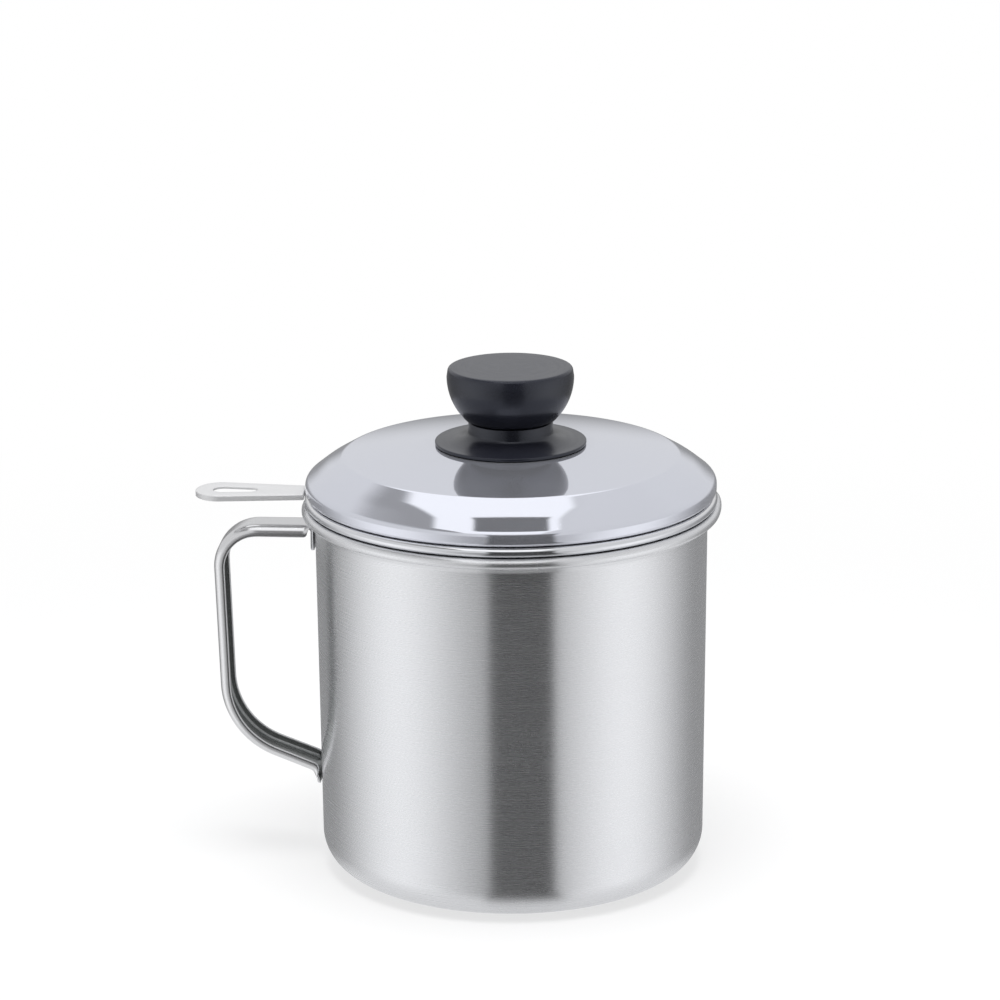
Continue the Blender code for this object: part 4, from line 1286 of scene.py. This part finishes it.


# %% [markdown]
# Each finish is a row of its own: colour, roughness, hairlines in a metre and how deep they are,
# and where it has them the slow waves, the rings, the stretch of the highlights and the share of
# bare metal. The pot, the strainer's dish and the handle each have a second finish inside. The
# colours of the pot's inside, the dish's inside and the screen are lighter, which is painted light,
# and the handle's hollow is darker, which is painted shade.

# %% The finish of each steel piece
FINE_LINES = 3600.0
POLISHED_LINES = 3000.0
PLAIN_LINES = 2600.0
FAINT = 0.00005 * MM
STEELS = {
    "satin_steel": dict(colour=(0.827, 0.832, 0.85), roughness=0.27, fineness=FINE_LINES,
                        depth=FAINT, stretch=0.95, bare=0.97),
    # Painted light: the near-white colour makes up for light that hardly reaches the pot's inside, and
    # its rings add painted shade.
    "turned_steel_painted_light": dict(colour=(0.97, 0.975, 0.985), roughness=0.17, fineness=FINE_LINES,
                         depth=0.0002 * MM, grooves=0.10 * MM, stretch=0.9, bare=0.86),
    "lid_steel": dict(colour=(0.745, 0.76, 0.83), roughness=0.06, fineness=POLISHED_LINES,
                      depth=FAINT, waves=0.02 * MM, bare=0.87),
    "mirror_steel": dict(colour=(0.80, 0.81, 0.84), roughness=0.06, fineness=POLISHED_LINES,
                         depth=FAINT, waves=0.01 * MM, bare=0.97),
    # Painted light: the colour is lighter to make up for the shade of the pieces above.
    "dish_steel_painted_light": dict(colour=(0.90, 0.90, 0.905), roughness=0.06, fineness=POLISHED_LINES,
                       depth=FAINT, bare=0.86),
    # Painted light: the colour is lighter to make up for the shade of the pieces above.
    "screen_steel_painted_light": dict(colour=(0.92, 0.92, 0.925), roughness=0.10, fineness=PLAIN_LINES,
                         depth=FAINT, bare=0.86),
    "handle_steel": dict(colour=(0.80, 0.80, 0.81), roughness=0.16, fineness=PLAIN_LINES,
                         depth=FAINT, bare=0.96),
    # Painted shade: the dark colour stands for shade in the handle's hollow. The higher roughness is its
    # duller finish.
    "hollow_steel_painted_shade": dict(colour=(0.36, 0.37, 0.365), roughness=0.24, fineness=PLAIN_LINES,
                         depth=0.0001 * MM),
    "tab_steel": dict(colour=(0.63, 0.63, 0.635), roughness=0.34, fineness=PLAIN_LINES,
                      depth=FAINT, bare=0.35),
    "plain_steel": dict(colour=(0.66, 0.66, 0.67), roughness=0.28, fineness=PLAIN_LINES,
                        depth=0.003 * MM),
}
steels = {name: steel(name, **finish) for name, finish in STEELS.items()}
for piece, finish in ((pot, "satin_steel"), (pot, "turned_steel_painted_light"), (handle, "handle_steel"),
                      (handle, "hollow_steel_painted_shade"), (bowl, "mirror_steel"), (bowl, "dish_steel_painted_light"),
                      (screen, "screen_steel_painted_light"), (tab, "tab_steel"), (lid, "lid_steel"),
                      (skirt, "lid_steel"), (bolt, "plain_steel"), (washer, "plain_steel")):
    piece.data.materials.append(steels[finish])
print("steels:", list(steels))

# %% [markdown]
# The knob is phenolic moulding: black, slightly grey in the light, with a soft sheen and a very
# fine grain from the mould. The bush is turned brass.

# %% Knob and bush finishes
MOULDING_COLOUR = (0.014, 0.015, 0.022)
MOULDING_DARKEST = 0.7
MOULDING_SHEEN = (0.86, 0.90, 1.0)
MOULDING_GLOSS = 0.58
MOULDING_ROUGHNESS = (0.22, 0.26)
MOULDING_WEAR = 0.02
GRAIN_SCALE = 2200.0
GRAIN_DETAIL = 3.0
GRAIN_DEPTH = 0.002 * MM
MOULD_LINES = 900.0
MOULD_PATCHES = 2.0


def moulding(name):
    """Black moulding: fine grain as bump and shade, roughness that varies in lines and patches."""
    material, tree, shader = new_material(name)
    grain = soft_noise(tree, GRAIN_SCALE, GRAIN_DETAIL)
    lines = placed(tree, hairlines, Fineness=MOULD_LINES, Patches=MOULD_PATCHES)
    feed_all(tree, shader, Base_Color=varied_colour(tree, MOULDING_COLOUR, MOULDING_DARKEST, grain),
             Roughness=worn_roughness(tree, lines, *MOULDING_ROUGHNESS, MOULDING_WEAR),
             Specular_IOR_Level=MOULDING_GLOSS, Specular_Tint=(*MOULDING_SHEEN, 1.0),
             Normal=bump(tree, grain, GRAIN_DEPTH))
    return material


black_moulding = moulding("black_moulding")
turned_brass = steel("turned_brass", colour=(0.80, 0.60, 0.30), roughness=0.25, fineness=2200.0,
                     depth=0.003 * MM)
for piece, material in ((collar, black_moulding), (grip, black_moulding), (bush, turned_brass)):
    piece.data.materials.append(material)
print("materials:", sorted(material.name for material in bpy.data.materials if material.users))

# %% [markdown]
# Polished steel is only as good as what it mirrors. The container stands in a white tent: two
# bright sides, a darker back, a white floor, and in front the dark gap through which the picture is
# taken, which gives the dark stripe down the middle of every wall. Overhead hangs a bright panel,
# and the arm that holds it is the dark patch on the lid's shoulder. The tent is fixed in the scene:
# its brightness depends only on a ray's direction. It is put together from soft-edged slabs and
# from blends of two brightnesses.

# %% Blends and soft slabs
def blend(tree, first, second, share):
    """First plus share times the way from first to second."""
    way = calc(tree, "SUBTRACT", second, first)
    return calc(tree, "ADD", calc(tree, "MULTIPLY", way, share), first)


def off_middle(tree, value, middle):
    """How far a number is from a middle, on either side."""
    return calc(tree, "ABSOLUTE", calc(tree, "SUBTRACT", value, middle))


def off_slab(tree, value, middle, half, soft):
    """Zero inside a slab about middle and one outside it, with a soft edge."""
    return smooth_step(tree, off_middle(tree, value, middle), half - soft, half + soft)


def most(tree, *values):
    """The largest of several numbers."""
    largest = values[0]
    for value in values[1:]:
        largest = calc(tree, "MAXIMUM", largest, value)
    return largest


# %% [markdown]
# Every part of the tent is a range of directions. The sides are ranges of compass angle, the floor
# lies below a tilted line and the roof above a level one. Real sheets and lamps could stand there
# too, but they would have to be hidden from the camera, and a change would mean moving several of
# them.

# %% Tent
SIDE_MIDDLES = (math.radians(-72), math.radians(70))
SIDE_HALF = math.radians(68)
SIDE_LEVEL = 1.06
BACK_LEVEL = 0.29
WALL_LEVEL = 0.72
WALL_FOOT = (-0.05, 0.20)
FLOOR_LEVEL = 0.80
FLOOR_EDGE = (-0.72, -0.52)
FLOOR_TILT = 0.20
PANEL_RIGHT = -0.065
PANEL_HALF = 0.31
PANEL_SOFT = 0.02
PANEL_LEVEL = 1.15
ROOF_LEVEL = 0.70
ROOF_DARK = 0.25
ROOF_SHADE = (-0.85, -0.45)
ROOF_FOOT = (0.60, 0.75)


def tent_level(tree, right, nearer, up):
    """Walls by compass angle, then the far wall's upper part, the floor and the roof with its panel."""
    turn = calc(tree, "ARCTAN2", right, nearer)
    level = BACK_LEVEL
    for middle in SIDE_MIDDLES:
        away = off_middle(tree, turn, middle)
        side = smooth_step(tree, away, 0.0, SIDE_HALF, SIDE_LEVEL - BACK_LEVEL, 0.0)
        level = calc(tree, "ADD", level, side)
    level = blend(tree, level, WALL_LEVEL, smooth_step(tree, up, *WALL_FOOT))
    floor_line = calc(tree, "ADD", up, calc(tree, "MULTIPLY", nearer, FLOOR_TILT))
    level = blend(tree, FLOOR_LEVEL, level, smooth_step(tree, floor_line, *FLOOR_EDGE))
    roof = blend(tree, ROOF_LEVEL, ROOF_DARK, smooth_step(tree, right, *ROOF_SHADE))
    roof = blend(tree, roof, ROOF_LEVEL, smooth_step(tree, right, 0.0, PANEL_HALF))
    roof = blend(tree, PANEL_LEVEL, roof, off_slab(tree, right, PANEL_RIGHT, PANEL_HALF, PANEL_SOFT))
    return blend(tree, level, roof, smooth_step(tree, up, *ROOF_FOOT))


# %% [markdown]
# The gap and the arm are taken out of the tent last. A further soft step keeps the gap in front and
# the arm overhead. The camera itself sees plain white, so the picture has the white ground that
# such pictures have.

# %% Gap, arm and world
FADE_BAND = (0.0, 0.1)
GAP_RIGHT = 0.087
GAP_HALF = 0.302
GAP_SOFT = 0.035
GAP_UP = -0.15
GAP_HALF_UP = 0.70
GAP_SOFT_UP = 0.10
GAP_LEVEL = 0.05
ARM_HALF = 0.19
ARM_NEARER = 0.04
ARM_HALF_NEARER = 0.105
ARM_SOFT = 0.015
TENT_TINT = (0.985, 0.99, 1.0)


def turned_direction(tree, direction):
    """How far a direction points right, to the front and up, in a studio turned by CAMERA_TURN."""
    turned_back = add(tree, "ShaderNodeVectorRotate", {"rotation_type": "Z_AXIS"}, Vector=direction,
                      Angle=-CAMERA_TURN)
    parts = add(tree, "ShaderNodeSeparateXYZ", Vector=turned_back.outputs[0])
    return parts.outputs["X"], calc(tree, "MULTIPLY", parts.outputs["Y"], -1.0), parts.outputs["Z"]


def studio_level(tree, direction):
    """The tent, darkened in the gap in front and where the arm crosses the panel."""
    right, nearer, up = turned_direction(tree, direction)
    beside_gap = off_slab(tree, right, GAP_RIGHT, GAP_HALF, GAP_SOFT)
    behind_gap = smooth_step(tree, nearer, *FADE_BAND, 1.0, 0.0)
    over_gap = off_slab(tree, up, GAP_UP, GAP_HALF_UP, GAP_SOFT_UP)
    beside_arm = off_slab(tree, right, 0.0, ARM_HALF, ARM_SOFT)
    along_arm = off_slab(tree, nearer, ARM_NEARER, ARM_HALF_NEARER, ARM_SOFT)
    under_arm = smooth_step(tree, up, *FADE_BAND, 1.0, 0.0)
    clear = calc(tree, "MINIMUM", most(tree, beside_gap, behind_gap, over_gap),
                 most(tree, beside_arm, along_arm, under_arm))
    return blend(tree, GAP_LEVEL, tent_level(tree, right, nearer, up), clear)


def make_world():
    """White for the camera, the tent for every other ray."""
    world = bpy.data.worlds.new("tent")
    world.use_nodes = True
    tree = world.node_tree
    background = tree.nodes["Background"]
    level = studio_level(tree, add(tree, "ShaderNodeTexCoord").outputs["Generated"])
    red, green, blue = (calc(tree, "MULTIPLY", level, part) for part in TENT_TINT)
    tent = add(tree, "ShaderNodeCombineColor", Red=red, Green=green, Blue=blue).outputs[0]
    to_camera = add(tree, "ShaderNodeLightPath").outputs["Is Camera Ray"]
    feed(tree, background.inputs["Color"], mixed(tree, to_camera, tent, WHITE))
    bpy.context.scene.world = world
    print("world:", world.name, len(tree.nodes), "nodes")


make_world()

# %% [markdown]
# The worktop is a white disc. Close to the container it is partly an ordinary pale surface, which
# keeps a soft shadow. The camera sees it fade to plain white further out, so it has no edge.

# %% Worktop
FLOOR_RADIUS = 1.6
FLOOR_DROP = 0.2 * MM
FLOOR_STEPS = 96
FLOOR_COLOUR = (0.86, 0.86, 0.86, 1.0)
FLOOR_ROUGHNESS = 0.7
SHADOW_RADIUS = 0.55
NEAR_RADIUS = 0.10
NEAR_GLOW = 0.62


def make_floor():
    """A flat disc. For the camera a white glow takes over with the distance from the middle."""
    rings = ((0, 0), (SHADOW_RADIUS, 0), (FLOOR_RADIUS, 0))
    floor = turned("worktop", rings, closed=False, steps=FLOOR_STEPS, lift=-FLOOR_DROP)
    material, tree, shader = new_material("white_worktop")
    feed_all(tree, shader, Base_Color=FLOOR_COLOUR, Roughness=FLOOR_ROUGHNESS)
    far = smooth_step(tree, distance(tree, own_place(tree)), NEAR_RADIUS, SHADOW_RADIUS, NEAR_GLOW, 1.0)
    seen = calc(tree, "MULTIPLY", far, add(tree, "ShaderNodeLightPath").outputs["Is Camera Ray"])
    glow = add(tree, "ShaderNodeEmission", Color=WHITE, Strength=1.0)
    mix = tree.nodes.new("ShaderNodeMixShader")
    feed(tree, mix.inputs[0], seen)
    feed(tree, mix.inputs[1], shader.outputs[0])
    feed(tree, mix.inputs[2], glow.outputs[0])
    feed(tree, tree.nodes["Material Output"].inputs["Surface"], mix.outputs[0])
    floor.data.materials.append(material)
    floor.visible_glossy = False
    print(floor.name, len(floor.data.polygons), "faces")


make_floor()

# %% [markdown]
# The tent lights every side and leaves hardly any shadow, so one soft lamp overhead deepens it. The
# lamp is hidden from reflections, because the tent already holds all that the steel should mirror.
# The plain view transform keeps white as white.

# %% Lamp
LAMP_HEIGHT = 0.9
LAMP_SIZE = 0.5
LAMP_FORWARD = LAMP_SIZE / 3
LAMP_WATTS = 6.0


def make_lamp():
    """One soft lamp overhead, slightly in front, for the shadow. No reflection shows it."""
    light = bpy.data.lights.new("overhead", "AREA")
    light.shape = "DISK"
    light.size = LAMP_SIZE
    light.energy = LAMP_WATTS
    lamp = bpy.data.objects.new("overhead", light)
    lamp.location = (0, -LAMP_FORWARD, LAMP_HEIGHT)
    lamp.visible_glossy = False
    bpy.context.collection.objects.link(lamp)
    print("lamp:", lamp.name, light.energy, "watts")


make_lamp()
bpy.context.scene.view_settings.view_transform = "Standard"
